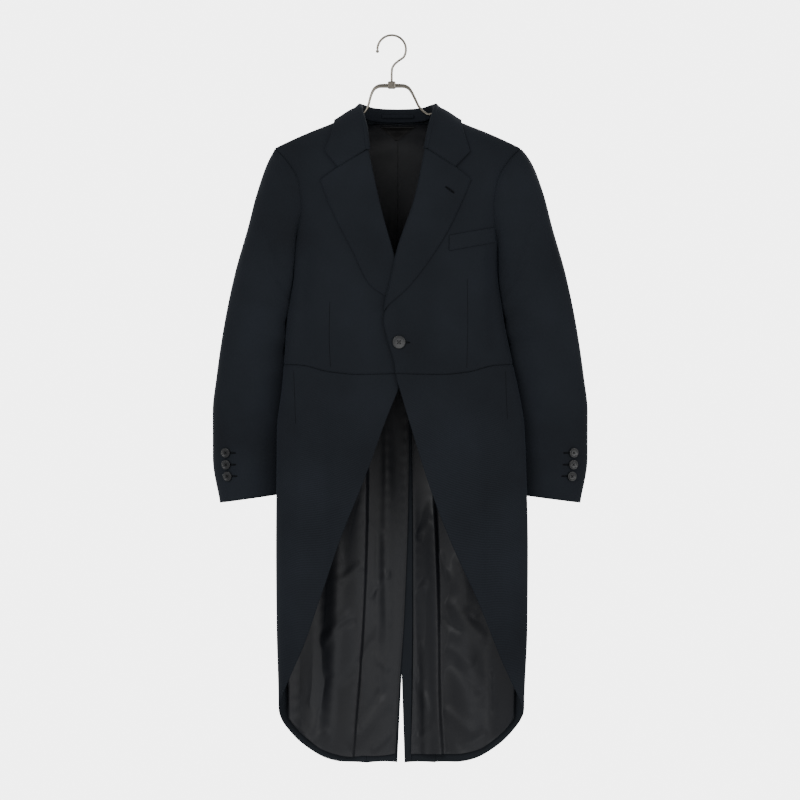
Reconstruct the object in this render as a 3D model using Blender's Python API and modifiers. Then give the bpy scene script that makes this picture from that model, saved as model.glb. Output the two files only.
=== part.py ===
"""Morning coat on a double-wire hanger.

Metres, +Z up, the coat's front faces -Y and the wearer's left is +X. The origin is the
inside top of the hanger's hook, where it rests on a rod. Tables are in millimetres.
"""
import math

import bmesh
import bpy
import numpy as np
from mathutils import Vector

MM = 0.001
COAT_X = 10.0        # the coat hangs a little to the wearer's left of the hook
CLOTH = 1.8          # wall of the wool shell, with its canvas or facing
LINING = 1.0         # wall of the satin lining
SEAM = 0.3           # gap between two pieces at a seam
LAYER_GAP = 0.8      # gap between a piece and the panel that it lies on
SHOULDER_ROUND = 80.0  # height over which the shoulder rounds down to the chest
SHOULDER_ARC = SHOULDER_ROUND * math.pi / 2
BOXINESS = 0.72      # below 1 the body's section is fuller at its corners

collection = None
cutters = None


def table(columns, *rows):
    """Rows of numbers under named columns, as one array for each column."""
    data = np.array(rows, dtype=float)
    return {name: data[:, i] for i, name in enumerate(columns.split())}


# Body sections: height, half width, shift of the middle, depths in front and behind
BODY = table(
    "z half mid front back",
    (-1215, 202, 5, 42, 48),
    (-1095, 203, 6, 46, 50),
    (-977, 207, 7, 48, 52),
    (-844, 208, 7, 52, 56),
    (-711, 206, 6, 56, 60),
    (-643, 204, 5, 58, 62),
    (-587, 196, 4, 59, 64),
    (-541, 189, 1, 60, 66),
    (-453, 177, -4, 66, 76),
    (-391, 170, -4, 70, 84),
    (-328, 172, -2, 70, 86),
    (-277, 178, 0, 68, 84),
    (-239, 186, 0, 66, 82),
    (-183, 206, 0, 60, 76),
    (-100, 214, 0, 56, 72),
)
# Ridge of the shoulder seam: distance from the middle, height
RIDGE = table(
    "x z",
    (0, -108),
    (60, -118),
    (103, -141),
    (150, -160),
    (190, -178),
    (206, -186),
    (240, -215),
)


def smooth(keys, values, at):
    """Value of a smooth curve through a table, with no overshoot."""
    order = np.argsort(keys)
    k, v = np.asarray(keys, float)[order], np.asarray(values, float)[order]
    step = np.diff(v) / np.diff(k)
    slope = np.zeros(len(k))
    same = step[:-1] * step[1:] > 0
    slope[1:-1][same] = 2 * step[:-1][same] * step[1:][same] / (step[:-1] + step[1:])[same]
    slope[0], slope[-1] = step[0], step[-1]
    at = np.clip(np.asarray(at, float), k[0], k[-1])
    i = np.clip(np.searchsorted(k, at) - 1, 0, len(k) - 2)
    width = k[i + 1] - k[i]
    t = (at - k[i]) / width
    rise = (3 * t * t - 2 * t ** 3) * (v[i + 1] - v[i])
    bend = (t - 2 * t * t + t ** 3) * slope[i] + (t ** 3 - t * t) * slope[i + 1]
    return v[i] + rise + bend * width


def section(name, z):
    return smooth(BODY["z"], BODY[name], z)


def ridge(x):
    both_x = np.concatenate([-RIDGE["x"][:0:-1], RIDGE["x"]])
    return smooth(both_x, np.concatenate([RIDGE["z"][:0:-1], RIDGE["z"]]), x)


def fold_depth(angle, z):
    """Soft vertical folds of the skirts, none above the waist."""
    fade = np.clip((-600 - z) / 300, 0, 1)
    return fade * (3.0 * np.cos(np.radians(angle * 6 + 40)) + 1.5 * np.cos(np.radians(angle * 11)))


def body(angle, fall, out=0.0):
    """Point of the coat's body in mm, moved out along the surface.

    angle goes round the body from 0 at the front to 180 at the back, positive on the
    wearer's left; fall is the way down the cloth from the shoulder ridge.
    """
    angle, fall, out = np.broadcast_arrays(*(np.asarray(value, float) for value in (angle, fall, out)))
    side = body_surface(angle + 0.5, fall) - body_surface(angle - 0.5, fall)
    down = body_surface(angle, fall + 1) - body_surface(angle, np.maximum(fall - 1, 0))
    inward = np.cross(side, down)
    inward /= np.linalg.norm(inward, axis=-1, keepdims=True)
    return body_surface(angle, fall) - inward * out[..., None]


def back_tuck(z):
    """How much narrower the back's corners are, which leaves room for the sleeves."""
    return 0.10 * np.clip((-200 - z) / 130, 0, 1)


def down_cloth(drop):
    """Way down the cloth to a point that lies a drop below the ridge."""
    drop = np.maximum(drop, 0)
    rounded = SHOULDER_ROUND * np.arccos(np.clip(1 - drop / SHOULDER_ROUND, -1, 1))
    return np.where(drop < SHOULDER_ROUND, rounded, drop - SHOULDER_ROUND + SHOULDER_ARC)


def body_surface(angle, fall):
    """Point of the coat's body; the height and the ridge above it are found in a few steps."""
    turn = np.radians(angle)
    tilt = np.clip(fall / SHOULDER_ROUND, 0, math.pi / 2)
    rounded = SHOULDER_ROUND * (1 - np.cos(tilt))
    drop = np.where(fall < SHOULDER_ARC, rounded, SHOULDER_ROUND + fall - SHOULDER_ARC)
    z = -170 - drop
    for _ in range(6):
        x = section("mid", z) + section("half", z) * np.sin(turn)
        z = ridge(x) - drop
    facing = np.cos(turn)
    deep = np.where(facing > 0, section("front", z), section("back", z)) + fold_depth(angle, z)
    y = -np.sign(facing) * deep * np.abs(facing) ** BOXINESS * np.sin(tilt)
    tuck = 1 - back_tuck(z) * np.clip(-facing, 0, 1) * np.abs(np.sin(turn))
    x = section("mid", z) + section("half", z) * np.sin(turn) * tuck
    return np.stack([x, y, z], axis=-1)


def front_at(x, z):
    """Angle and fall of the front's point at a place of the front view."""
    x, z = np.asarray(x, float), np.asarray(z, float)
    sine = np.clip((x - section("mid", z)) / section("half", z), -0.999, 0.999)
    return np.stack([np.degrees(np.arcsin(sine)), down_cloth(ridge(x) - z)], axis=-1)


def back_at(x, z):
    """The same for a place of the back, seen through from the front."""
    spot = front_at(x, z)
    spot[..., 0] = np.where(spot[..., 0] >= 0, 180 - spot[..., 0], -180 - spot[..., 0])
    return spot


def at_height(angle, z):
    """Angle and fall of the point at a height on one vertical line of the body."""
    angle, z = np.asarray(angle, float), np.asarray(z, float)
    x = section("mid", z) + section("half", z) * np.sin(np.radians(angle))
    return np.stack([angle, down_cloth(ridge(x) - z)], axis=-1)


def spread(points, count, curved=True, ease=1.0):
    """Count points along a curve or a straight-sided line; an ease over 1 crowds its start."""
    points = np.array(points, float)
    length = np.concatenate([[0], np.cumsum(np.linalg.norm(np.diff(points, axis=0), axis=1))])
    at = length[-1] * np.linspace(0, 1, count) ** ease
    if curved and len(points) > 2:
        return np.stack([smooth(length, points[:, k], at) for k in range(points.shape[1])], axis=1)
    return np.stack([np.interp(at, length, points[:, k]) for k in range(points.shape[1])], axis=1)


def fill(top, bottom, start, end, fade=4):
    """Grid of a panel between its four edges; the top's and bottom's bends fade out inwards."""
    v = np.linspace(0, 1, len(start))[:, None, None]
    u = np.linspace(0, 1, len(top))[None, :, None]
    across = (1 - u) * start[:, None] + u * end[:, None]
    bend_top = top[None] - (1 - u) * top[0] - u * top[-1]
    bend_bottom = bottom[None] - (1 - u) * bottom[0] - u * bottom[-1]
    return across + (1 - v) ** fade * bend_top + v ** fade * bend_bottom


def material(name, colour, roughness, metallic=0.0):
    found = bpy.data.materials.get(name)
    if found:
        return found
    made = bpy.data.materials.new(name)
    made.use_nodes = True
    shader = made.node_tree.nodes["Principled BSDF"]
    shader.inputs["Base Color"].default_value = (*colour, 1)
    shader.inputs["Roughness"].default_value = roughness
    shader.inputs["Metallic"].default_value = metallic
    return made


def add_object(name, data, look):
    made = bpy.data.objects.new(name, data)
    data.materials.clear()
    data.materials.append(look)
    collection.objects.link(made)
    return made


def wall(name, outer, inner, look, closed=False):
    """Closed solid between two grids of points in mm, whose rows may run all the way round."""
    rows, cols = outer.shape[:2]
    shift = np.array([COAT_X, 0, 0])
    points = np.concatenate([(outer + shift).reshape(-1, 3), (inner + shift).reshape(-1, 3)]) * MM
    skin = rows * cols
    faces = []
    last = cols if closed else cols - 1
    for i in range(rows - 1):
        for j in range(last):
            k = (j + 1) % cols
            a, b, c, d = i * cols + j, (i + 1) * cols + j, (i + 1) * cols + k, i * cols + k
            faces.append((a, b, c, d))
            faces.append((d + skin, c + skin, b + skin, a + skin))
    for j in range(last):
        k = (j + 1) % cols
        low, low_next = (rows - 1) * cols + j, (rows - 1) * cols + k
        faces.append((k, k + skin, j + skin, j))
        faces.append((low, low + skin, low_next + skin, low_next))
    if not closed:
        for i in range(rows - 1):
            a, b = i * cols, (i + 1) * cols
            c, d = a + cols - 1, b + cols - 1
            faces.append((a, a + skin, b + skin, b))
            faces.append((c, d, d + skin, c + skin))
    mesh = bpy.data.meshes.new(name)
    mesh.from_pydata([tuple(p) for p in points], [], faces)
    bm = bmesh.new()
    bm.from_mesh(mesh)
    bmesh.ops.recalc_face_normals(bm, faces=bm.faces)
    bm.to_mesh(mesh)
    bm.free()
    mesh.shade_smooth()
    mesh.set_sharp_from_angle(angle=math.radians(50))
    return add_object(name, mesh, look)


def panel(name, grid, look, lift=0.0, thick=CLOTH):
    """Wall on the body, from a grid of angles and falls; lift raises its outer face."""
    outer = body(grid[..., 0], grid[..., 1], lift + 0 * grid[..., 0])
    inner = body(grid[..., 0], grid[..., 1], lift - thick + 0 * grid[..., 0])
    return wall(name, outer, inner, look)


# Armhole on the wearer's left, from the shoulder down the front and up the back
ARMHOLE = table(
    "angle z",
    (81.0, -186),
    (67.0, -207),
    (62.5, -239),
    (63.5, -277),
    (70.0, -318),
    (80.0, -350),
    (92.0, -362),
    (104.0, -348),
    (113.0, -310),
    (117.0, -265),
    (115.0, -225),
    (107.0, -198),
    (99.0, -186),
)
SIDE_SEAM = 81.0     # angle of the seam between forebody and side body
BACK_SEAM = 162.0    # angle of the back's outer edge at the waist
SEAM_TURN = 0.10     # half a seam gap, as an angle
BACK_SEAM_TURN = 0.25  # the same where the seam runs aslant
HALF_SEAM = SEAM / 2
WAIST = table("x z", (0, -557), (64, -558.5), (113, -554), (160, -543), (195, -541))
NECK_POINT = 70      # where shoulder seam meets collar, from the middle
SHOULDER_POINT = 203
SHOULDER_HALF = 206  # half width of the body at the shoulder, which the ridge's angles use
SHOULDER_DEEP = 60
NECK_BACK = -139
WAIST_BACK = -541    # height of the waist seam behind the side seams
HEM = -1203
HALF_WAIST = 190
HALF_SKIRT = 200
VENT_ANGLE = 1.7     # how far each side of the vent stands open at the hem
VENT_TOP = -1055

# Front-view edges in mm from the coat's middle; the left front lies on top
ROLL = {
    "left": [(61, -128), (45, -196), (31, -271), (2, -359), (-8, -405), (-20, -451)],
    "right": [(-65, -131), (-49, -196), (-28, -291), (-3, -379), (6, -412)],
}
FRONT_EDGE = {
    "left": [(-20, -451), (-23, -470), (-17, -500), (-5, -545), (-4, -556.9)],
    "right": [(6, -412), (14, -448), (16, -490), (12, -530), (10, -556.9)],
}
LAPEL_EDGE = {
    "left": [(120, -239), (105, -275), (82, -323), (53, -369), (17, -415), (-15, -444)],
    "right": [(-127, -240), (-110, -284), (-74, -356), (-45, -412), (-14, -434)],
}
GORGE = {"left": [(47, -190), (94, -219)], "right": [(-50, -191), (-98, -220)]}
CUTAWAY = {
    "left": [(-2, -566), (20, -640), (53, -746), (91, -844), (126, -919), (152, -981), (170, -1029),
             (194, -1078)],
    "right": [(2, -580), (-16, -623), (-47, -711), (-91, -821), (-122, -910), (-153, -1003),
              (-179, -1060), (-190, -1082)],
}
# Hem of the tails seen inside the back, from the side to the vent
TAIL_HEM = table(
    "x z", (207, -1128), (198, -1147), (186, -1163), (165, -1181), (137, -1196), (100, HEM), (10, HEM - 1)
)
WOOL = ("wool", (0.012, 0.014, 0.019), 0.85)


def sided(side):
    return 1 if side == "left" else -1


def overlap_lift(angle, fall):
    """How far the left front stands out where it lies over the right one."""
    spot = body_surface(angle, fall)
    near = np.clip((74 - spot[..., 0]) / 62, 0, 1)
    high = np.clip((spot[..., 2] + 800) / 190, 0, 1)
    return 5.4 * near * near * (3 - 2 * near) * high


def armhole(first, last, count, side):
    """Stretch of the armhole between two rows of its table."""
    part = slice(first, last + 1)
    curve = spread(at_height(ARMHOLE["angle"][part], ARMHOLE["z"][part]), count)
    return curve * (sided(side), 1)


def shoulder(panel_name, x_from, x_to, count, side):
    """Shoulder seam just off the ridge, on the front or the back."""
    x = np.linspace(x_from, x_to, count)
    turn = np.degrees(np.arcsin(x / SHOULDER_HALF))
    deep = SHOULDER_DEEP * np.cos(np.radians(turn)) ** BOXINESS
    fall = SHOULDER_ROUND * np.arcsin(SEAM / deep)
    turn = turn if panel_name == "front" else 180 - turn
    return np.stack([turn * sided(side), fall], axis=1)


def waist(angles):
    """Waist seam as angle and fall, straight behind the side seam."""
    x = HALF_WAIST * np.sin(np.radians(np.abs(angles)))
    z = np.where(np.abs(angles) < 90, smooth(WAIST["x"], WAIST["z"], x), WAIST_BACK)
    return at_height(angles, z)


def panel_lift(side, grid):
    """Lift of a front or skirt, which only the wearer's left one has."""
    return overlap_lift(grid[..., 0], grid[..., 1]) if side == "left" else 0 * grid[..., 0]


def make_front(side):
    rows, cols = 17, 12
    s = sided(side)
    edge = np.array([(s * NECK_POINT, ridge(NECK_POINT))] + ROLL[side][1:] + FRONT_EDGE[side][1:])
    start = spread(front_at(edge[:, 0], edge[:, 1]), rows, ease=1.2)
    seam_top = armhole(0, 5, 10, side)
    seam_top[0] = shoulder("front", SHOULDER_POINT, SHOULDER_POINT, 1, side)[0]
    waist_end = waist(np.array([s * SIDE_SEAM]))[0, 1]
    falls = np.linspace(seam_top[-1, 1] + 4, waist_end, 9)
    seam_low = np.stack([np.full(9, s * (SIDE_SEAM - SEAM_TURN)), falls], axis=1)
    end = spread(np.concatenate([seam_top, seam_low]), rows, ease=1.2)
    top = shoulder("front", NECK_POINT, SHOULDER_POINT, cols, side)
    start[0], end[0] = top[0], top[-1]
    bottom = waist(np.linspace(start[-1, 0], end[-1, 0], cols))
    bottom[:, 1] -= HALF_SEAM
    start[-1], end[-1] = bottom[0], bottom[-1]
    grid = fill(top, bottom, start, end)
    return panel("front_" + side, grid, material(*WOOL), panel_lift(side, grid))


def side_body_seam():
    """Seam from the back of the armhole down to the waist, on the wearer's left."""
    angle = np.array([113, 128, 147, 158, BACK_SEAM])
    return spread(at_height(angle, np.array([-310, -390, -460, -505, WAIST_BACK])), 9)


def make_side_body(side):
    rows, cols = 9, 7
    s = sided(side)
    top = armhole(5, 8, cols, side)
    top[0, 0] = s * (SIDE_SEAM + SEAM_TURN)
    end = side_body_seam() * (s, 1) + (-s * BACK_SEAM_TURN, HALF_SEAM)
    waist_line = waist(np.linspace(s * (SIDE_SEAM + SEAM_TURN), end[-1, 0], cols))
    waist_line[:, 1] -= HALF_SEAM
    low = np.linspace(top[0, 1], waist_line[0, 1], rows)
    start = np.stack([np.full(rows, s * (SIDE_SEAM + SEAM_TURN)), low], axis=1)
    top[-1], end[-1] = end[0], waist_line[-1]
    return panel("side_body_" + side, fill(top, waist_line, start, end), material(*WOOL))


def make_back(side):
    cols = 10
    s = sided(side)
    hole = spread(at_height(ARMHOLE["angle"][8:], ARMHOLE["z"][8:])[::-1], 7, ease=1.5)
    hole[0] = shoulder("back", SHOULDER_POINT, SHOULDER_POINT, 1, "left")[0]
    tail = spread(at_height(np.array([BACK_SEAM, 163]), np.array([WAIST_BACK, HEM])), 9)
    end = np.concatenate([hole, side_body_seam()[1:], tail[1:]]) * (s, 1) + (s * BACK_SEAM_TURN, 0)
    level = body_surface(end[:, 0], end[:, 1])[:, 2]
    level = NECK_BACK + (level - level[0]) * (HEM - NECK_BACK) / (level[-1] - level[0])
    open_angle = VENT_ANGLE * np.clip((VENT_TOP - level) / (VENT_TOP - HEM), 0, 1)
    start = at_height(180 - SEAM_TURN - open_angle, level) * (s, 1)
    neck = at_height(np.array([180 - SEAM_TURN, 170, 163]), np.array([NECK_BACK, -137, -130]))
    ridge_line = shoulder("back", NECK_POINT, SHOULDER_POINT, cols - 3, "left")
    top = np.concatenate([neck, ridge_line]) * (s, 1)
    start[0], end[0] = top[0], top[-1]
    bottom = spread([start[-1], end[-1]], cols)
    return panel("back_" + side, fill(top, bottom, start, end, fade=8), material(*WOOL))


def tail_bottom(side):
    """Lower edge of a skirt: its angles, and its heights there, from the front to the vent."""
    cut = np.array(CUTAWAY[side])
    front = front_at(cut[:, 0], cut[:, 1])[:, 0] * sided(side)
    behind = back_at(TAIL_HEM["x"], TAIL_HEM["z"])[:, 0]
    return np.concatenate([front, behind]), np.concatenate([cut[:, 1], TAIL_HEM["z"]])


def make_skirt(side):
    rows = 11
    s = sided(side)
    bottom_angle, bottom_z = tail_bottom(side)
    front = np.linspace(bottom_angle[0], 70, 10)
    behind = np.linspace(117, BACK_SEAM - SEAM_TURN, 8)
    angles = np.concatenate([front, np.linspace(75, 110, 8), behind])
    top = waist(angles * s) + (0, SEAM)
    low = at_height(angles * s, smooth(bottom_angle, bottom_z, angles))
    start, end = spread([top[0], low[0]], rows), spread([top[-1], low[-1]], rows)
    end[:, 0] += s * np.linspace(0, 1, rows)
    grid = fill(top, low, start, end)
    return panel("skirt_" + side, grid, material(*WOOL), panel_lift(side, grid))


def make_lapel(side):
    rows, cols = 14, 8
    s = sided(side)
    gorge = np.array(GORGE[side])
    edge = np.array(LAPEL_EDGE[side])
    roll = np.array([tuple(gorge[0])] + ROLL[side][2:])
    top = np.concatenate([spread(gorge, 6), [edge[0]]])
    top = np.insert(top, 6, (gorge[1] + edge[0]) / 2, axis=0)
    start, end = spread(roll, rows), spread(edge, rows)
    bottom = spread([start[-1], end[-1]], cols)
    plan = fill(top, bottom, start, end)
    grid = front_at(plan[..., 0], plan[..., 1])
    across = np.linspace(0, 1, cols)
    belly = 2.2 * np.sin(across * math.pi) ** 0.7
    down = np.linspace(1, 0, rows)[:, None]
    lift = LAYER_GAP + CLOTH + belly[None] * down + panel_lift(side, grid)
    return panel("lapel_" + side, grid, material(*WOOL), lift)


def make_welt():
    low = spread([(84, -356), (160, -341)], 7)
    high = spread([(84, -331), (158, -317)], 7)
    ends = [spread([high[0], low[0]], 3), spread([high[-1], low[-1]], 3)]
    plan = fill(high, low, ends[0], ends[1])
    grid = front_at(plan[..., 0], plan[..., 1])
    return panel("breast_welt", grid, material(*WOOL), 2.4 + 0 * grid[..., 0], thick=1.4)


# Sleeve sections: place down the sleeve, outer and inner edge, depth of its middle, half depth
SLEEVE = table(
    "t out_x out_z in_x in_z y deep",
    (0.00, 206, -190, 168, -362, 2, 50),
    (0.10, 222, -214, 163, -384, 6, 49),
    (0.20, 238, -262, 160, -403, 10, 48),
    (0.30, 252, -315, 158, -421, 15, 47),
    (0.42, 274, -391, 156, -450, 22, 45),
    (0.55, 292, -475, 162, -497, 31, 43),
    (0.67, 305, -559, 171, -560, 40, 41),
    (0.77, 312, -622, 178, -620, 46, 39),
    (0.88, 312, -695, 184, -688, 51, 37),
    (1.00, 300, -771, 184, -755, 54, 35),
)
SLEEVE_SHIFT = 4     # both sleeves hang a little to the wearer's left
HIND_SEAM = 12       # places of the two sleeve seams round the sleeve, in degrees
INSEAM = 195
SLEEVE_TURN = 0.4


def body_limit(y, z, s):
    """Reach of the body's side at a depth, or a very low value past its front or back."""
    deep = np.where(y < 0, section("front", z), section("back", z))
    facing = np.clip(np.abs(y) / deep, 0, 1) ** (1 / BOXINESS)
    side = np.sqrt(1 - facing ** 2)
    tuck = np.where(y > 0, 1 - back_tuck(z) * facing * side, 1)
    return np.where(np.abs(y) < deep, section("half", z) * side * tuck + s * section("mid", z), -999)


def sleeve(side, t, turn):
    """Point of the sleeve's outer face: t down the sleeve, turn round it from its outer edge."""
    t, turn = np.broadcast_arrays(np.asarray(t, float), np.asarray(turn, float))
    s = sided(side)
    value = {name: smooth(SLEEVE["t"], SLEEVE[name], t) for name in SLEEVE}
    radians = np.radians(turn)
    half = (1 + np.cos(radians)) / 2
    x = value["in_x"] + (value["out_x"] - value["in_x"]) * half
    z = value["in_z"] + (value["out_z"] - value["in_z"]) * half
    y = value["y"] - value["deep"] * np.sin(radians)
    hanging, beside = x + s * SLEEVE_SHIFT * half, body_limit(y, z, s) + 2.0
    x = (hanging + beside + np.sqrt((hanging - beside) ** 2 + 20)) / 2
    loop = spread(at_height(ARMHOLE["angle"], ARMHOLE["z"]), 361)
    spot = body_surface(*[np.interp(turn % 360.0001, np.arange(361), loop[:, k]) for k in (0, 1)])
    blend = np.clip(t / 0.22, 0, 1)
    blend = (1 - (1 - blend) ** 2)[..., None]
    hole = spot + np.array([0.9, 0, 0])
    hole[..., 0] += (s - 1) * section("mid", hole[..., 2])
    points = np.stack([x, y, z], axis=-1) * blend + hole * (1 - blend)
    points[..., 0] *= s
    return points


def sleeve_skin(side, t, turn, out):
    """Sleeve point moved out along the surface."""
    around = sleeve(side, t, turn + 2.0) - sleeve(side, t, turn - 2.0)
    down = sleeve(side, np.minimum(t + 0.01, 1), turn) - sleeve(side, np.maximum(t - 0.01, 0), turn)
    normal = np.cross(around, down) * sided(side)
    normal /= np.linalg.norm(normal, axis=-1, keepdims=True)
    return sleeve(side, t, turn) + normal * out


def make_sleeve(side):
    down = np.concatenate([[0, 0.05, 0.11, 0.18], np.linspace(0.27, 1, 8)])[:, None]
    spans = {
        "top_sleeve_": np.linspace(HIND_SEAM + SLEEVE_TURN, INSEAM - SLEEVE_TURN, 12),
        "under_sleeve_": np.linspace(INSEAM + SLEEVE_TURN, 360 + HIND_SEAM - SLEEVE_TURN, 11),
    }
    for name, turn in spans.items():
        t, turn = np.broadcast_arrays(down, turn[None])
        wall(name + side, sleeve_skin(side, t, turn, 0), sleeve_skin(side, t, turn, -CLOTH), material(*WOOL))


# Collar on the wearer's left, from the middle of the back to the gorge: the roll line,
# the outer edge (behind 1, on the ridge 0, in front -1) and the height of the stand
COLLAR = table(
    "x y z edge_x edge_z behind stand",
    (0, 50, -118, 0, -166, 1, 19),
    (22, 48, -117.5, 32, -165, 1, 19),
    (42, 39, -116, 62, -160, 1, 18.5),
    (55, 23, -113, 86, -150, 1, 15),
    (63, 5, -111.5, 103, -138, 0, 6),
    (63.5, -12, -118, 105, -150, -1, 4),
    (61.5, -26, -130, 108, -163, -1, 5),
    (54.5, -45, -158, 113, -178, -1, 5),
    (47, -64, -189, 118, -195, -1, 3),
)
COLLAR_TIP = {"left": (118, -195), "right": (-120, -193)}
FALL_LIFT = 2.8      # the fall's outer face over the body
STAND_LEAN = 6.0     # how far the foot of the stand is behind its top, at the back


def off_body(points, lift):
    """Moves points out that are nearer to the body than lift."""
    x, y, z = points[..., 0], points[..., 1], points[..., 2]
    drop = ridge(x) - z
    side = np.clip((x - section("mid", z)) / section("half", z), -0.98, 0.98)
    facing = (1 - side ** 2) ** (BOXINESS / 2)
    deep = np.where(y < 0, section("front", z), section("back", z)) * facing
    up = np.clip(SHOULDER_ROUND - drop, 0, None)
    share = np.sqrt((y / deep) ** 2 + (up / SHOULDER_ROUND) ** 2)
    length = np.sqrt(y ** 2 + up ** 2)
    scale = np.maximum((length / share + lift) / length, 1)
    moved = points.copy()
    moved[..., 1] = y * scale
    moved[..., 2] = z + up * (scale - 1)
    return moved


def grid_normals(grid):
    """Directions square to a grid of points."""
    rows = np.gradient(grid, axis=0)
    cols = np.gradient(grid, axis=1)
    normal = np.cross(rows, cols)
    return normal / np.linalg.norm(normal, axis=-1, keepdims=True)


def make_collar():
    steps = np.linspace(0, 8, 13)
    half = {name: smooth(np.arange(9), COLLAR[name], steps) for name in COLLAR}
    mirror = {name: np.concatenate([values[:0:-1], values]) for name, values in half.items()}
    sign = np.concatenate([-np.ones(12), np.ones(13)])
    roll = np.stack([mirror["x"] * sign, mirror["y"], mirror["z"]], axis=1)
    edge = np.stack([mirror["edge_x"] * sign, 60 * mirror["behind"], mirror["edge_z"]], axis=1)
    ridge_gap = np.abs(edge[:, 1]) < 50
    edge[:, 1] = np.where(ridge_gap, edge[:, 1] * 0.5, edge[:, 1])
    roll[0, 0], roll[0, 2] = GORGE["right"][0][0], GORGE["right"][0][1] + 0.4
    edge[0, 0], edge[0, 2] = COLLAR_TIP["right"]
    edge = off_body(place_on_body(edge), FALL_LIFT)
    roll = off_body(roll, FALL_LIFT + 1.6)
    tangent = np.gradient(roll, axis=0)
    tangent /= np.linalg.norm(tangent, axis=1, keepdims=True)
    outward = edge - roll
    outward -= np.sum(outward * tangent, axis=1, keepdims=True) * tangent
    outward[:, 2] *= 0.3
    outward /= np.linalg.norm(outward, axis=1, keepdims=True)
    upward = np.cross(outward, tangent)
    upward *= np.sign(upward[:, 2:] + 0.001)
    upward /= np.linalg.norm(upward, axis=1, keepdims=True)
    stand = mirror["stand"][:, None]
    behind = np.clip(mirror["behind"], 0, 1)[:, None]
    upright = upward * (1 - behind) + np.array([0, 0, 1]) * behind
    lean = behind * STAND_LEAN * outward * (1, 1, 0) / np.linalg.norm(outward[:, :2], axis=1, keepdims=True)
    fold = [(-2.9, 1.0), (-3.1, 0.5), (-2.9, 0.0)]
    rows = [roll + outward * o - upright * (stand * share + 3) + lean * share for o, share in fold]
    rows += [roll - outward * 1.9 - upward * 0.9, roll + 0, roll + outward * 2.0 - upward * 1.0]
    start = rows[-1]
    ends = []
    for side in (-1, 1):
        name = "left" if side > 0 else "right"
        gorge = np.array(GORGE[name] + [COLLAR_TIP[name]])
        first = start[0 if side < 0 else -1]
        plan = np.concatenate([spread(gorge[:2], 5)[1:], spread(gorge[1:], 3)[1:]])
        spots = front_at(plan[:, 0], plan[:, 1] + 0.7)
        ends.append(np.concatenate([[first], body(spots[:, 0], spots[:, 1], CLOTH + LAYER_GAP)]))
    fall = fill(ends[0], ends[1], start, edge, fade=5)
    lift = FALL_LIFT + 1.5 * np.sin(np.linspace(0, 1, 7) * math.pi)[None]
    fall[1:-1] = off_body(fall[1:-1], lift)
    outer = np.concatenate([np.stack(rows[:-1], axis=1), fall], axis=1)
    inner = outer + grid_normals(outer) * 1.4
    return wall("collar", outer, inner, material(*WOOL))


def place_on_body(points):
    """Puts points on the body's surface, keeping their place in the front view."""
    x, z = points[..., 0], points[..., 2]
    drop = np.clip(ridge(x) - z, 0, None)
    side = np.clip((x - section("mid", z)) / section("half", z), -0.98, 0.98)
    facing = (1 - side ** 2) ** (BOXINESS / 2)
    deep = np.where(points[..., 1] < 0, section("front", z), section("back", z)) * facing
    tilt = np.sqrt(np.clip(1 - np.clip(1 - drop / SHOULDER_ROUND, 0, 1) ** 2, 0, 1))
    placed = points.copy()
    placed[..., 1] = np.sign(points[..., 1]) * deep * tilt
    return placed


# Soft folds of the tail lining as they hang inside the back: place, width, height, top end
LINING_FOLDS = {
    "left": table(
        "x wide high top",
        (34, 7, 3.0, -700),
        (57, 8, 5.5, -660),
        (92, 13, 4.0, -760),
        (135, 16, 3.5, -900),
    ),
    "right": table(
        "x wide high top",
        (-26, 8, 3.5, -640),
        (-52, 10, 5.0, -600),
        (-88, 13, 4.0, -720),
        (-130, 16, 3.5, -880),
    ),
}
FACING_EDGE = {"left": 17.0, "right": 7.0}   # width of the vent facings at the waist
BACK_LINING_GAP = 2.6   # the body lining hangs a little free of the back
HEM_FACING = 15      # cloth that shows below the lining
BODY_LINING_END = -538.0
TAIL_LINING_TOP = -548.0
LINING_SIDE = 104    # angle at which the tail lining ends, hidden by the skirt's side
SATIN = ("lining", (0.028, 0.028, 0.031), 0.42)
METAL = ("nickel", (0.42, 0.40, 0.37), 0.35, 1.0)
HORN = ("button_horn", (0.03, 0.03, 0.035), 0.35)


def lining_fold(side, grid):
    spot = body_surface(grid[..., 0], grid[..., 1])
    folds = LINING_FOLDS[side]
    height = np.zeros(spot.shape[:-1])
    for x, wide, high, top in zip(folds["x"], folds["wide"], folds["high"], folds["top"]):
        fade = np.clip((top - spot[..., 2]) / 90, 0, 1)
        height += fade * high * np.exp(-((spot[..., 0] - x) / wide) ** 2)
    return height


def make_tail_lining(side):
    rows = 11
    s = sided(side)
    start_angle = 180 - np.degrees(np.arcsin((FACING_EDGE[side] + 1) / HALF_SKIRT))
    bottom_angle, bottom_z = tail_bottom(side)
    folds = 180 - np.degrees(np.arcsin(np.abs(LINING_FOLDS[side]["x"]) / HALF_SKIRT))
    plain = np.linspace(LINING_SIDE, start_angle, 8)
    angles = np.unique(np.round(np.concatenate([plain, folds, folds - 3, folds + 3]), 0))
    angles = angles[(angles >= LINING_SIDE) & (angles <= start_angle)]
    low_z = smooth(bottom_angle, bottom_z, np.minimum(angles, 172)) + HEM_FACING
    top = at_height(angles * s, np.full(len(angles), TAIL_LINING_TOP))
    low = at_height(angles * s, low_z)
    grid = fill(top, low, spread([top[0], low[0]], rows), spread([top[-1], low[-1]], rows))
    lift = -CLOTH - 0.7 - lining_fold(side, grid)
    return panel("lining_skirt_" + side, grid, material(*SATIN), lift, thick=LINING)


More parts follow.
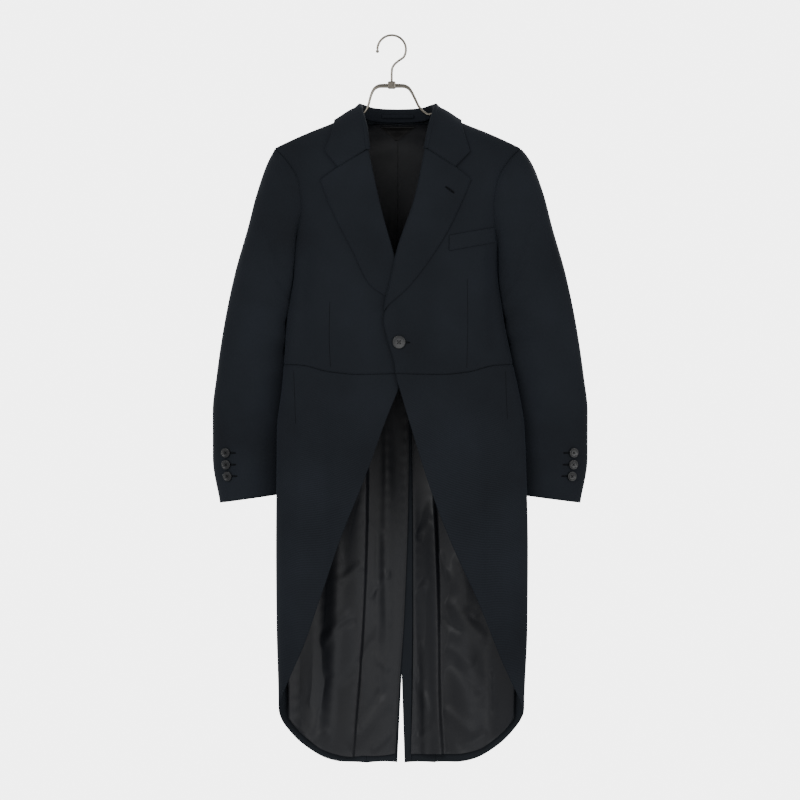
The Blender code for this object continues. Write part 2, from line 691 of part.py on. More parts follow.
def make_back_lining(side):
    rows, cols = 11, 7
    s = sided(side)
    middle = at_height(np.full(2, 180 - SEAM_TURN), np.array([-140.8, BODY_LINING_END]))
    start = spread(middle, rows, ease=1.6) * (s, 1)
    side_z = np.array([-153.5, -240, -380, BODY_LINING_END])
    side_line = at_height(np.array([153.0, 133.0, 120.0, 112.0]), side_z)
    end = spread(side_line, rows, ease=1.6) * (s, 1)
    top, bottom = spread([start[0], end[0]], cols), spread([start[-1], end[-1]], cols)
    bottom[:, 1] = at_height(bottom[:, 0], np.full(cols, BODY_LINING_END))[:, 1]
    grid = fill(top, bottom, start, end)
    lift = -CLOTH - BACK_LINING_GAP + 0 * grid[..., 0]
    return panel("lining_back_" + side, grid, material(*SATIN), lift, thick=LINING)


def make_vent_facing(side):
    rows = 13
    s = sided(side)
    z = np.linspace(TAIL_LINING_TOP, HEM + 2, rows)
    opened = VENT_ANGLE * np.clip((VENT_TOP - z) / (VENT_TOP - HEM), 0, 1)
    near = 180 - 2 * SEAM_TURN - opened
    far = np.full(rows, 180 - np.degrees(np.arcsin(FACING_EDGE[side] / HALF_SKIRT)))
    grid = np.stack([at_height(a * s, z) for a in (near, (near + far) / 2, far)], axis=1)
    lift = -CLOTH - 0.5 + 0 * grid[..., 0]
    return panel("vent_facing_" + side, grid, material(*WOOL), lift, thick=LINING)


def make_label():
    """Bare three-cornered patch at the back neck."""
    top = back_at(*spread([(-31, -141.6), (30, -141.6)], 6).T)
    low = back_at(*spread([(-4, -165.6), (0, -165.6)], 6).T)
    for line in (top, low):
        line[:, 0] = np.where(line[:, 0] < 0, line[:, 0] + 360, line[:, 0])
    grid = np.stack([top * (1 - v) + low * v for v in np.linspace(0, 1, 4)])
    lift = -CLOTH - BACK_LINING_GAP - LINING - LAYER_GAP - 0.2 + 0 * grid[..., 0]
    return panel("neck_label", grid, material("label_satin", (0.02, 0.018, 0.015), 0.5), lift, thick=1.0)


def make_loop():
    """Hanging loop: a narrow strip that stands off the inside of the collar at its middle."""
    reach = 27
    across = np.linspace(-reach, reach, 9)
    bow = 1.6 * np.cos(across / reach * math.pi / 2) ** 0.5
    y = 46.8 - 0.0046 * across ** 2 - bow
    rows = [np.stack([across, y + 0.8 * k, np.full(9, -126.5 - 2.6 * k)], axis=1) for k in range(3)]
    grid = np.stack(rows)
    return wall("hanging_loop", grid, grid + np.array([0, 1.0, 0]), material(*WOOL))


def move_to(home, thing):
    """Takes an object out of every other collection."""
    for old in list(thing.users_collection):
        old.objects.unlink(thing)
    home.objects.link(thing)


def cut_out(target, cutter, label):
    """Hides a cutter and takes it away from its target."""
    cutter.hide_render = True
    cutter.display_type = "WIRE"
    move_to(cutters, cutter)
    cut = target.modifiers.new(label, "BOOLEAN")
    cut.operation = "DIFFERENCE"
    cut.solver = "EXACT"
    cut.object = cutter


def make_button(name, centre, normal, radius, thick):
    """Four-hole button with a raised rim, back face on the cloth."""
    profile = [(0, 0), (0.72, 0), (1, 0.35), (1, 0.7), (0.88, 1), (0.68, 0.72), (0, 0.62)]
    mesh = bpy.data.meshes.new(name)
    points = [(radius * r * MM, 0, thick * h * MM) for r, h in profile[::-1]]
    mesh.from_pydata(points, [(i, i + 1) for i in range(len(points) - 1)], [])
    button = add_object(name, mesh, material(*HORN))
    screw = button.modifiers.new("Turn", "SCREW")
    screw.steps = screw.render_steps = 14
    screw.use_merge_vertices = True
    screw.merge_threshold = 0.00001
    for k in range(4):
        turn = math.radians(45 + 90 * k)
        bpy.ops.mesh.primitive_cylinder_add(vertices=6, radius=radius * 0.1 * MM, depth=thick * 4 * MM)
        hole = bpy.context.object
        hole.name = name + "_hole_" + str(k)
        hole.location = (radius * 0.26 * math.cos(turn) * MM, radius * 0.26 * math.sin(turn) * MM, 0)
        hole.parent = button
        cut_out(button, hole, "Hole")
    button.rotation_mode = "QUATERNION"
    button.rotation_quaternion = Vector(normal).to_track_quat("Z", "Y")
    button.location = Vector(np.array(centre) + (COAT_X, 0, 0)) * MM
    return button


FRONT_BUTTON = (2.0, -505.0)
CUFF_BUTTONS = (0.870, 0.901, 0.932)   # places down the sleeve
CUFF_BUTTON_TURN = 52
CUFF_BUTTON_LIFT = 0.15  # the sleeve is a little hollow between its faceted columns


def make_buttons():
    spot = front_at(np.array([FRONT_BUTTON[0]]), np.array([FRONT_BUTTON[1]]))
    lift = overlap_lift(spot[:, 0], spot[:, 1]) + 0.45
    centre = body(spot[:, 0], spot[:, 1], lift)[0]
    normal = body(spot[:, 0], spot[:, 1], lift + 1)[0] - centre
    make_button("front_button", centre, normal, 10.6, 4.2)
    for side in ("left", "right"):
        for number, t in enumerate(CUFF_BUTTONS, start=1):
            centre = sleeve_skin(side, t, CUFF_BUTTON_TURN, CUFF_BUTTON_LIFT)
            normal = sleeve_skin(side, t, CUFF_BUTTON_TURN, CUFF_BUTTON_LIFT + 1) - centre
            make_button(f"cuff_button_{side}_{number}", centre, normal, 7.9, 3.6)


WIRE = 1.9           # radius of the hanger's wires
WIRE_GAP = 2.0       # between the wires and the shoulders that rest on them
HOOK_RADIUS = 23.5   # of the hook's middle line
NECK_BAR = -81.5     # height of the wires' top bar, halfway between the two
WIRE_LAYER = 5.0     # half the distance between the wires
WIRE_STEP = 2.2      # half the difference in height of their top bars
# Each half of a hanger wire, from the middle of the top bar to where it enters the shoulder
NECK_WIRE = {
    "left": [
        (0, NECK_BAR), (19, -81.8), (28, -85.5), (33.5, -93),
        (39.5, -105), (45, -116), (52.5, -124), (61, -129),
    ],
    "right": [
        (0, NECK_BAR), (19, -81.8), (27, -85), (32, -92),
        (35.5, -102), (38, -112), (41, -120), (46, -126),
    ],
}


def wire_curve(name, points, radius):
    """Round wire along a row of points."""
    curve = bpy.data.curves.new(name, "CURVE")
    curve.dimensions = "3D"
    curve.bevel_depth = radius * MM
    curve.bevel_resolution = 2
    curve.use_fill_caps = True
    spline = curve.splines.new("POLY")
    spline.points.add(len(points) - 1)
    for point, place in zip(spline.points, points):
        point.co = (*(np.array(place, float) * MM), 1)
    return add_object(name, curve, material(*METAL))


def shoulder_wire(name, y, step):
    """Bent wire of one hanger layer; a step drops its middle to the wire's place in the clamp."""
    arm_x = np.linspace(76, 178, 9)
    sides = []
    for s, neck in ((-1, NECK_WIRE["right"]), (1, NECK_WIRE["left"])):
        place = s * arm_x - COAT_X
        middle_deep = section("front" if y < 0 else "back", -183)
        deep = middle_deep * (1 - (place / SHOULDER_HALF) ** 2) ** (BOXINESS / 2)
        round_off = SHOULDER_ROUND * (1 - np.sqrt(1 - (y / deep) ** 2))
        rest = ridge(place) - round_off - CLOTH - WIRE - WIRE_GAP
        half = np.concatenate([np.array(neck, float), np.stack([arm_x, rest], axis=1)])
        drop = step * np.clip(1 - np.arange(len(half)) / len(neck), 0, 1)
        sides.append(np.stack([half[:, 0] * s, np.full(len(half), y), half[:, 1] + drop], axis=1))
    wire_curve(name, spread(np.concatenate([sides[0][:0:-1], sides[1]]), 35), WIRE)


def make_clamp():
    """Block that holds both wires and the hook's stem."""
    bpy.ops.mesh.primitive_cube_add(size=1)
    clamp = bpy.context.object
    clamp.name = "hanger_clamp"
    clamp.scale = (13 * MM, 16 * MM, 12 * MM)
    clamp.location = (0, 0, -80.5 * MM)
    bpy.ops.object.transform_apply(location=True, rotation=False, scale=True)
    move_to(collection, clamp)
    clamp.data.materials.append(material(*METAL))
    edges = clamp.modifiers.new("Edges", "BEVEL")
    edges.width = 2 * MM
    edges.segments = 2
    for y, z in ((-WIRE_LAYER, NECK_BAR - WIRE_STEP), (WIRE_LAYER, NECK_BAR + WIRE_STEP)):
        bpy.ops.mesh.primitive_cylinder_add(
            vertices=16,
            radius=(WIRE + SEAM) * MM,
            depth=30 * MM,
            location=(0, y * MM, z * MM),
            rotation=(0, math.pi / 2, 0),
        )
        slot = bpy.context.object
        slot.name = "hanger_clamp_slot"
        cut_out(clamp, slot, "Slot")


def make_hook():
    """Hook with its stem and the ball on its tip; its inside top is the origin."""
    arc = np.radians(np.linspace(-38, 180, 22))
    stem = [(0, -74.2), (0, -62), (0.6, -54), (4, -47), (10.5, -41)]
    middle = WIRE - HOOK_RADIUS
    bow = [(HOOK_RADIUS * math.cos(a), middle + HOOK_RADIUS * math.sin(a)) for a in arc[1:]]
    wire_curve("hanger_hook", [(x, 0, z) for x, z in stem + bow], WIRE)
    tip = (-HOOK_RADIUS * MM, 0, (middle - 3.1) * MM)
    bpy.ops.mesh.primitive_uv_sphere_add(segments=14, ring_count=8, radius=2.9 * MM, location=tip)
    ball = bpy.context.object
    ball.name = "hanger_ball"
    move_to(collection, ball)
    ball.data.materials.append(material(*METAL))


def make_hanger():
    shoulder_wire("hanger_wire_front", -WIRE_LAYER, -WIRE_STEP)
    shoulder_wire("hanger_wire_rear", WIRE_LAYER, WIRE_STEP)
    make_clamp()
    make_hook()


def make_body():
    for side in ("left", "right"):
        make_front(side)
        make_side_body(side)
        make_back(side)
        make_skirt(side)
        make_lapel(side)
        make_sleeve(side)
        make_back_lining(side)
        make_tail_lining(side)
        make_vent_facing(side)
    make_welt()
    make_collar()
    make_label()
    make_loop()
    make_buttons()
    make_hanger()


def main():
    global collection, cutters
    for old in list(bpy.data.objects):
        bpy.data.objects.remove(old, do_unlink=True)
    collection = bpy.data.collections.new("morning_coat_on_hanger")
    cutters = bpy.data.collections.new("cutters")
    bpy.context.scene.collection.children.link(collection)
    bpy.context.scene.collection.children.link(cutters)
    make_body()


main()
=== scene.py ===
# %% [markdown]
# # Morning coat on a double-wire hanger
# The real object is a black-navy wool tailcoat with notch lapels and a satin lining. It hangs
# on a nickel-plated wire hanger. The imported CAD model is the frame: it says where every piece
# is. Each cloth solid is replaced by a fine sheet on the same form, which can show soft
# creases, rolled lapels, seams and stitches. +Z is up, the front faces -Y, and the wearer's
# left is +X. Tables are in millimetres.

# %% Load the frame
import math

import bpy
import numpy as np
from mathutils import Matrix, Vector


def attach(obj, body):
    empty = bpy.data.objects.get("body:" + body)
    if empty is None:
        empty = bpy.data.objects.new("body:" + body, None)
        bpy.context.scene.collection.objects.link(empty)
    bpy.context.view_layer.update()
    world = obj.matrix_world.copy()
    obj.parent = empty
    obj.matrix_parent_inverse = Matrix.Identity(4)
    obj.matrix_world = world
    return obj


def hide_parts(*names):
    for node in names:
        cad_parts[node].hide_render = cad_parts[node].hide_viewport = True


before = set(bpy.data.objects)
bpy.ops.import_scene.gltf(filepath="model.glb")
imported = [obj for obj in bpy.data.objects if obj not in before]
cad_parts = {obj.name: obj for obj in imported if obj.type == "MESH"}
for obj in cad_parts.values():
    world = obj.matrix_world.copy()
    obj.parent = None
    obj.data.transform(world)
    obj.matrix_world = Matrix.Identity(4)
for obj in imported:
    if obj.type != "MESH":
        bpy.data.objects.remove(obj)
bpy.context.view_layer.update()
MM = 0.001
SIDES = ("left", "right")
print("CAD nodes:", len(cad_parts))

# %% [markdown]
# ## Camera and light
# The photograph looks straight at the front from far away, so the camera has a long lens. One
# photo pixel is 1.65 mm, and 800 of them set the width that the lens takes in. Large soft
# lights are used because black wool shows its form only by broad, gentle reflections.

# %% Camera
VIEW_WIDTH = 1.32       # metres that the picture takes in
CAMERA_AWAY = 6.0
PICTURE_MIDDLE = (0.0137, -0.600)
camera_data = bpy.data.cameras.new("camera")
camera_data.sensor_width = 36.0
camera_data.lens = camera_data.sensor_width * CAMERA_AWAY / VIEW_WIDTH
camera = bpy.data.objects.new("camera", camera_data)
camera.location = (PICTURE_MIDDLE[0], -CAMERA_AWAY, PICTURE_MIDDLE[1])
camera.rotation_euler = (math.radians(90), 0, 0)
bpy.context.scene.collection.objects.link(camera)
bpy.context.scene.camera = camera
print("Lens:", round(camera_data.lens), "mm")


# %% Lights and world
WORLD_LIGHT = 0.8    # strength of the light that the white world throws on the coat
WORLD_SEEN = 5.0     # strength that the camera sees: white paper, as in the photograph
# Name, place, height of the point it looks at, size in metres and watts
LIGHTS = (
    ("key", (-1.6, -3.0, 0.9), -0.6, 1.6, 75),
    ("fill", (2.4, -2.4, -0.3), -0.6, 2.0, 42),
    ("back key", (1.7, 3.0, 0.8), -0.6, 1.6, 60),
    ("back fill", (-2.3, 2.6, -0.3), -0.6, 2.0, 40),
    ("low", (0.2, -3.2, -1.5), -0.9, 1.6, 22),
)

for name, place, look_z, size, watts in LIGHTS:
    data = bpy.data.lights.new(name, "AREA")
    data.size = size
    data.energy = watts
    light = bpy.data.objects.new(name, data)
    light.location = place
    away = Vector((0, 0, look_z)) - Vector(place)
    light.rotation_euler = away.to_track_quat("-Z", "Y").to_euler()
    bpy.context.scene.collection.objects.link(light)

world = bpy.data.worlds.new("studio")
world.use_nodes = True
tree = world.node_tree
ray = tree.nodes.new("ShaderNodeLightPath")
strength = tree.nodes.new("ShaderNodeMapRange")
strength.inputs["To Min"].default_value = WORLD_LIGHT
strength.inputs["To Max"].default_value = WORLD_SEEN
tree.links.new(ray.outputs["Is Camera Ray"], strength.inputs["Value"])
tree.links.new(strength.outputs["Result"], tree.nodes["Background"].inputs["Strength"])
tree.nodes["Background"].inputs["Color"].default_value = (1, 1, 1, 1)
bpy.context.scene.world = world
print("Lights:", len(LIGHTS))

# %% [markdown]
# ## Materials
# A material starts from what the real one is. One function turns a colour picker's hex value
# into the linear colour that a shader needs, and another adds a node with its settings and
# links. Cloth patterns follow a UV map in metres of cloth, so a thread pitch is a real size.


# %% Colour and node helpers
def colour(code):
    """Linear colour of an sRGB hex value."""
    parts = [int(code[i:i + 2], 16) / 255 for i in (1, 3, 5)]
    linear = [p / 12.92 if p <= 0.04045 else ((p + 0.055) / 1.055) ** 2.4 for p in parts]
    return (*linear, 1.0)


def add_node(tree, kind, settings=None, **values):
    """Node with settings and values by socket name, or i and number; a socket is linked."""
    node = tree.nodes.new(kind)
    for key, value in (settings or {}).items():
        setattr(node, key, value)
    for key, value in values.items():
        numbered = key[0] == "i" and key[1:].isdigit()
        socket = node.inputs[int(key[1:]) if numbered else key.replace("_", " ")]
        if isinstance(value, bpy.types.NodeSocket):
            tree.links.new(value, socket)
        else:
            socket.default_value = value
    return node


def new_material(name, values):
    """New material, its tree and its Principled shader, with constant values on the shader."""
    made = bpy.data.materials.new(name)
    made.use_nodes = True
    shader = made.node_tree.nodes["Principled BSDF"]
    for socket, value in values.items():
        shader.inputs[socket].default_value = value
    return made, made.node_tree, shader


def colour_between(tree, shader, share, dark, light):
    """Base colour of a shader as a blend of two hex colours by a share."""
    mix = add_node(tree, "ShaderNodeMix", {"data_type": "RGBA"}, Factor=share)
    mix.inputs[6].default_value = colour(dark)
    mix.inputs[7].default_value = colour(light)
    tree.links.new(mix.outputs[2], shader.inputs["Base Color"])


def clouded(name, dark, light, values, stretch=(1.0, 1.0, 1.0), **noise):
    """Material whose colour drifts by a noise in the object's own space."""
    made, tree, shader = new_material(name, values)
    place = add_node(tree, "ShaderNodeTexCoord")
    drawn = add_node(tree, "ShaderNodeMapping", Vector=place.outputs["Object"], Scale=stretch)
    cloud = add_node(tree, "ShaderNodeTexNoise", Vector=drawn.outputs[0], **noise)
    colour_between(tree, shader, cloud.outputs["Fac"], dark, light)
    return made


print("White is", colour("#FFFFFF")[:3])

# %% [markdown]
# ### Wool
# Fine worsted: a tight twill with a short nap. It is matt, with a faint bluish sheen at glancing
# angles. The real twill line is 0.5 mm, too fine to show, so it is drawn 2 mm apart.

# %% Wool material
WAVE_TURN = math.pi / 10    # length of one wave of a wave texture at scale 1
TWILL = 0.002               # metres from one twill line to the next
TWILL_SLANT = math.radians(63)


def make_wool(name, dark, light):
    """Matt twill: fine slanting lines under a nap, with a broad cloudy change of colour."""
    made, tree, shader = new_material(name, {
        "Roughness": 0.85,
        "Specular IOR Level": 0.05,
        "Sheen Weight": 0.04,
        "Sheen Roughness": 0.5,
        "Sheen Tint": colour("#8E9AB4"),
    })
    place = add_node(tree, "ShaderNodeTexCoord")
    flat, solid = place.outputs["UV"], place.outputs["Object"]
    slant = add_node(tree, "ShaderNodeMapping", Vector=flat, Rotation=(0, 0, TWILL_SLANT))
    twill = add_node(tree, "ShaderNodeTexWave", Vector=slant.outputs[0], Scale=WAVE_TURN / TWILL,
                     Distortion=1.2, Detail=2.0, Detail_Scale=4.0)
    nap = add_node(tree, "ShaderNodeTexNoise", Vector=flat, Scale=650.0, Detail=4.0)
    wide = add_node(tree, "ShaderNodeTexNoise", Vector=solid, Scale=7.0, Detail=3.0)
    mixed = add_node(tree, "ShaderNodeMath", {"operation": "MULTIPLY_ADD"},
                     i0=twill.outputs["Fac"], i1=0.30, i2=wide.outputs["Fac"])
    share = add_node(tree, "ShaderNodeMapRange", Value=mixed.outputs[0],
                     From_Min=0.35, From_Max=0.95)
    colour_between(tree, shader, share.outputs[0], dark, light)
    height = add_node(tree, "ShaderNodeMath", {"operation": "ADD"},
                      i0=twill.outputs["Fac"], i1=nap.outputs["Fac"])
    bump = add_node(tree, "ShaderNodeBump", Strength=0.35, Distance=0.00025,
                    Height=height.outputs[0])
    tree.links.new(bump.outputs[0], shader.inputs["Normal"])
    return made


wool = make_wool("worsted wool twill, black navy", "#131518", "#1A1D22")
facing_wool = make_wool("worsted wool facing, inside", "#15171A", "#1C1F23")
WOOL_LOOKS = [wool, facing_wool]
print("Wool:", wool.name)

# %% [markdown]
# ### Satin lining
# Charcoal viscose satin: smooth floats of thread give it a soft gloss along one direction, and
# it creases sharply. Small shallow wrinkles are a noise stretched down the cloth; the same noise
# paints shade into the colour, darker in their hollows and lighter on their crests.


# %% Satin material
def make_satin(name, dark, light, roughness=0.46):
    """Glossy satin: long shallow wrinkles with painted shade in their hollows, and the grain of
    its threads.
    """
    made, tree, shader = new_material(name, {
        "Roughness": roughness,
        "Anisotropic": 0.5,
        "Specular IOR Level": 0.22,
    })
    place = add_node(tree, "ShaderNodeTexCoord")
    long = add_node(tree, "ShaderNodeMapping", Vector=place.outputs["UV"], Scale=(1.0, 0.35, 1.0))
    wrinkle_and_shade = add_node(tree, "ShaderNodeTexNoise", Vector=long.outputs[0], Scale=18.0, Detail=2.0,
                       Distortion=0.4)
    thread = add_node(tree, "ShaderNodeTexNoise", Vector=long.outputs[0], Scale=900.0, Detail=2.0)
    # Painted shade: the wrinkle noise also makes the colour darker in the wrinkles' hollows and
    # lighter on their crests
    colour_between(tree, shader, wrinkle_and_shade.outputs["Fac"], dark, light)
    soft = add_node(tree, "ShaderNodeBump", Strength=0.5, Distance=0.003,
                    Height=wrinkle_and_shade.outputs["Fac"])
    fine = add_node(tree, "ShaderNodeBump", Strength=0.25, Distance=0.0002,
                    Height=thread.outputs["Fac"], Normal=soft.outputs[0])
    tree.links.new(fine.outputs[0], shader.inputs["Normal"])
    return made


satin = make_satin("viscose satin lining, charcoal", "#0A0B0E", "#101217")
patch_satin = make_satin("satin neck patch, dark", "#050505", "#090808", 0.5)
print("Satin:", satin.name)

# %% [markdown]
# ### Buttons, thread and hanger wire
# The buttons are moulded resin made to look like dark horn: cloudy streaks under a polished
# face. The thread is mercerised cotton. The hanger is steel wire with satin nickel plating.

# %% Horn, thread and nickel materials
horn = clouded(
    "polished resin, dark horn look", "#050608", "#0E0F12",
    {"Roughness": 0.3, "Specular IOR Level": 0.4},
    stretch=(1.0, 1.0, 0.25), Scale=420.0, Detail=4.0, Distortion=1.5,
)
thread_look = clouded(
    "cotton sewing thread, black", "#040405", "#08090B",
    {"Roughness": 0.8, "Specular IOR Level": 0.05}, Scale=2500.0, Detail=2.0,
)
nickel = clouded(
    "satin nickel-plated steel wire", "#57534C", "#7A756C",
    {"Metallic": 1.0}, Scale=320.0, Detail=3.0,
)
tree = nickel.node_tree
drawn = tree.nodes["Noise Texture"]
rough = add_node(tree, "ShaderNodeMapRange", Value=drawn.outputs["Fac"], To_Min=0.22, To_Max=0.4)
tree.links.new(rough.outputs[0], tree.nodes["Principled BSDF"].inputs["Roughness"])
print("Materials:", len(bpy.data.materials))

# %% [markdown]
# ## The form that the cloth hangs on
# The coat's body is one smooth surface. A point of it has an angle, 0 at the front and 180 at
# the back, and a fall, the way down the cloth from the shoulder. The same sections as the
# solids' give it its size, so each sheet lies where its solid is.

# %% Sections of the body
COAT_X = 10.0           # the coat's middle from the hook's, to the wearer's left
CLOTH = 1.8             # thickness of the wool
LINING = 1.0
SEAM = 0.3              # gap of a pressed seam
LAYER_GAP = 0.8         # between the front and what lies on it
SHOULDER_ROUND = 80.0   # radius of the shoulder from the ridge down
SHOULDER_ARC = SHOULDER_ROUND * math.pi / 2
BOXINESS = 0.72         # 1 makes the sections ovals, less makes them boxier


def table(columns, *rows):
    """Rows of numbers under named columns, as one array for each column."""
    data = np.array(rows, dtype=float)
    return {name: data[:, i] for i, name in enumerate(columns.split())}


# Body sections: height, half width, shift of the middle, depths in front and behind
BODY = table(
    "z half mid front back",
    (-1215, 202, 5, 42, 48),
    (-1095, 203, 6, 46, 50),
    (-977, 207, 7, 48, 52),
    (-844, 208, 7, 52, 56),
    (-711, 206, 6, 56, 60),
    (-643, 204, 5, 58, 62),
    (-587, 196, 4, 59, 64),
    (-541, 189, 1, 60, 66),
    (-453, 177, -4, 66, 76),
    (-391, 170, -4, 70, 84),
    (-328, 172, -2, 70, 86),
    (-277, 178, 0, 68, 84),
    (-239, 186, 0, 66, 82),
    (-183, 206, 0, 60, 76),
    (-100, 214, 0, 56, 72),
)
# Ridge of the shoulder seam: distance from the middle, height
RIDGE = table(
    "x z",
    (0, -108),
    (60, -118),
    (103, -141),
    (150, -160),
    (190, -178),
    (206, -186),
    (240, -215),
)
print("Sections:", len(BODY["z"]))


# %% Curves through a table
def smooth(keys, values, at):
    """Value of a smooth curve through a table, with no overshoot."""
    order = np.argsort(keys)
    k, v = np.asarray(keys, float)[order], np.asarray(values, float)[order]
    step = np.diff(v) / np.diff(k)
    slope = np.zeros(len(k))
    same = step[:-1] * step[1:] > 0
    slope[1:-1][same] = 2 * step[:-1][same] * step[1:][same] / (step[:-1] + step[1:])[same]
    slope[0], slope[-1] = step[0], step[-1]
    at = np.clip(np.asarray(at, float), k[0], k[-1])
    i = np.clip(np.searchsorted(k, at) - 1, 0, len(k) - 2)
    width = k[i + 1] - k[i]
    t = (at - k[i]) / width
    rise = (3 * t * t - 2 * t ** 3) * (v[i + 1] - v[i])
    bend = (t - 2 * t * t + t ** 3) * slope[i] + (t ** 3 - t * t) * slope[i + 1]
    return v[i] + rise + bend * width


def section(name, z):
    """One size of the body's sections at a height."""
    return smooth(BODY["z"], BODY[name], z)


def ridge(x):
    """Height of the shoulder ridge at a distance from the middle."""
    both_x = np.concatenate([-RIDGE["x"][:0:-1], RIDGE["x"]])
    return smooth(both_x, np.concatenate([RIDGE["z"][:0:-1], RIDGE["z"]]), x)


print("Shoulder 100 mm out:", round(float(ridge(100)), 1), "mm")


# %% The body's surface
def fold_depth(angle, z):
    """Soft vertical folds of the skirts, none above the waist."""
    fade = np.clip((-600 - z) / 300, 0, 1)
    return fade * (3.0 * np.cos(np.radians(angle * 6 + 40)) + 1.5 * np.cos(np.radians(angle * 11)))


def back_tuck(z):
    """How much narrower the back's corners are, which leaves room for the sleeves."""
    return 0.10 * np.clip((-200 - z) / 130, 0, 1)


def down_cloth(drop):
    """Way down the cloth to a point that lies a drop below the ridge."""
    drop = np.maximum(drop, 0)
    rounded = SHOULDER_ROUND * np.arccos(np.clip(1 - drop / SHOULDER_ROUND, -1, 1))
    return np.where(drop < SHOULDER_ROUND, rounded, drop - SHOULDER_ROUND + SHOULDER_ARC)


def body_surface(angle, fall):
    """Point of the coat's body; the height and the ridge above it are found in a few steps."""
    turn = np.radians(angle)
    tilt = np.clip(fall / SHOULDER_ROUND, 0, math.pi / 2)
    rounded = SHOULDER_ROUND * (1 - np.cos(tilt))
    drop = np.where(fall < SHOULDER_ARC, rounded, SHOULDER_ROUND + fall - SHOULDER_ARC)
    z = -170 - drop
    for _ in range(6):
        x = section("mid", z) + section("half", z) * np.sin(turn)
        z = ridge(x) - drop
    facing = np.cos(turn)
    deep = np.where(facing > 0, section("front", z), section("back", z)) + fold_depth(angle, z)
    y = -np.sign(facing) * deep * np.abs(facing) ** BOXINESS * np.sin(tilt)
    tuck = 1 - back_tuck(z) * np.clip(-facing, 0, 1) * np.abs(np.sin(turn))
    x = section("mid", z) + section("half", z) * np.sin(turn) * tuck
    return np.stack([x, y, z], axis=-1)


def body(angle, fall, out=0.0):
    """Point of the coat's body in mm, moved out along the surface.

    angle goes round the body from 0 at the front to 180 at the back, positive on the
    wearer's left; fall is the way down the cloth from the shoulder ridge.
    """
    values = (np.asarray(value, float) for value in (angle, fall, out))
    angle, fall, out = np.broadcast_arrays(*values)
    side = body_surface(angle + 0.5, fall) - body_surface(angle - 0.5, fall)
    down = body_surface(angle, fall + 1) - body_surface(angle, np.maximum(fall - 1, 0))
    inward = np.cross(side, down)
    inward /= np.linalg.norm(inward, axis=-1, keepdims=True)
    return body_surface(angle, fall) - inward * out[..., None]


print("Chest front:", body(0, 200).round(1))


# %% Places on the body
def front_at(x, z):
    """Angle and fall of the front's point at a place of the front view."""
    x, z = np.asarray(x, float), np.asarray(z, float)
    sine = np.clip((x - section("mid", z)) / section("half", z), -0.999, 0.999)
    return np.stack([np.degrees(np.arcsin(sine)), down_cloth(ridge(x) - z)], axis=-1)


def back_at(x, z):
    """The same for a place of the back, seen through from the front."""
    spot = front_at(x, z)
    spot[..., 0] = np.where(spot[..., 0] >= 0, 180 - spot[..., 0], -180 - spot[..., 0])
    return spot


def at_height(angle, z):
    """Angle and fall of the point at a height on one vertical line of the body."""
    angle, z = np.asarray(angle, float), np.asarray(z, float)
    x = section("mid", z) + section("half", z) * np.sin(np.radians(angle))
    return np.stack([angle, down_cloth(ridge(x) - z)], axis=-1)


def sided(side):
    """1 on the wearer's left, -1 on the right."""
    return 1 if side == "left" else -1


print("Button place:", front_at(2, -505).round(1))

# %% [markdown]
# ## Creases
# The wool hangs smooth, with a few soft troughs under the arms, beside the darts and down the
# skirts. Each crease is a line in the front view with a width and a height, and the back gets
# its own. Every sheet adds the same crease, so neighbours at a seam move together.

# %% Table of creases
CREASES = {
    "front": table(
        "x0 z0 x1 z1 wide high",
        (-152, -345, -158, -540, 13, -2.6), (154, -340, 160, -535, 12, -2.8),
        (-150, -215, -116, -330, 13, -1.6), (148, -212, 120, -310, 12, -1.5),
        (-30, -505, -112, -470, 12, 1.2), (40, -500, 112, -462, 13, 1.3),
        (-126, -440, -128, -545, 11, 1.5), (92, -400, 94, -545, 15, 1.3),
        (-128, -600, -116, -1010, 15, -3.4), (-158, -585, -166, -1070, 11, 2.6),
        (-62, -600, -84, -790, 20, -1.8), (-100, -640, -96, -900, 14, 1.6),
        (150, -585, 158, -1060, 14, -3.4), (116, -600, 128, -930, 17, 2.4),
        (60, -600, 78, -780, 19, -1.6), (180, -590, 184, -1060, 9, 1.6),
    ),
    "back": table(
        "x0 z0 x1 z1 wide high",
        (-60, -600, -70, -1150, 18, -3.0), (62, -590, 72, -1160, 17, -3.2),
        (-120, -580, -130, -1120, 20, 2.6), (124, -590, 130, -1120, 19, 2.4),
        (-120, -220, -84, -330, 15, -1.8), (118, -215, 86, -325, 14, -1.6),
        (-95, -420, -70, -530, 16, -1.6), (98, -415, 72, -530, 15, -1.8),
    ),
}


def crease_height(rows, a, b):
    """Sum of soft creases along lines from (a0, b0) to (a1, b1)."""
    columns = list(rows.values())
    total = np.zeros(np.shape(a))
    for a0, b0, a1, b1, wide, high in zip(*columns):
        along = ((a - a0) * (a1 - a0) + (b - b0) * (b1 - b0)) / ((a1 - a0) ** 2 + (b1 - b0) ** 2)
        along = np.clip(along, 0, 1)
        apart = (a - a0 - along * (a1 - a0)) ** 2 + (b - b0 - along * (b1 - b0)) ** 2
        total += high * np.exp(-apart / wide ** 2) * np.clip(4 * along * (1 - along) * 2, 0, 1)
    return total


def drape(grid):
    """Creases of the body at a grid of angles and falls."""
    spot = body_surface(grid[..., 0], grid[..., 1])
    x, y, z = spot[..., 0], spot[..., 1], spot[..., 2]
    to_front = np.clip(0.5 - y / 30, 0, 1)
    front, back = (crease_height(CREASES[name], x, z) for name in ("front", "back"))
    off_side = np.clip(np.abs(y) / 25, 0, 1)    # none at the side, where the sleeve lies close
    return (front * to_front + back * (1 - to_front)) * off_side


print("Creases:", {name: len(rows["wide"]) for name, rows in CREASES.items()})

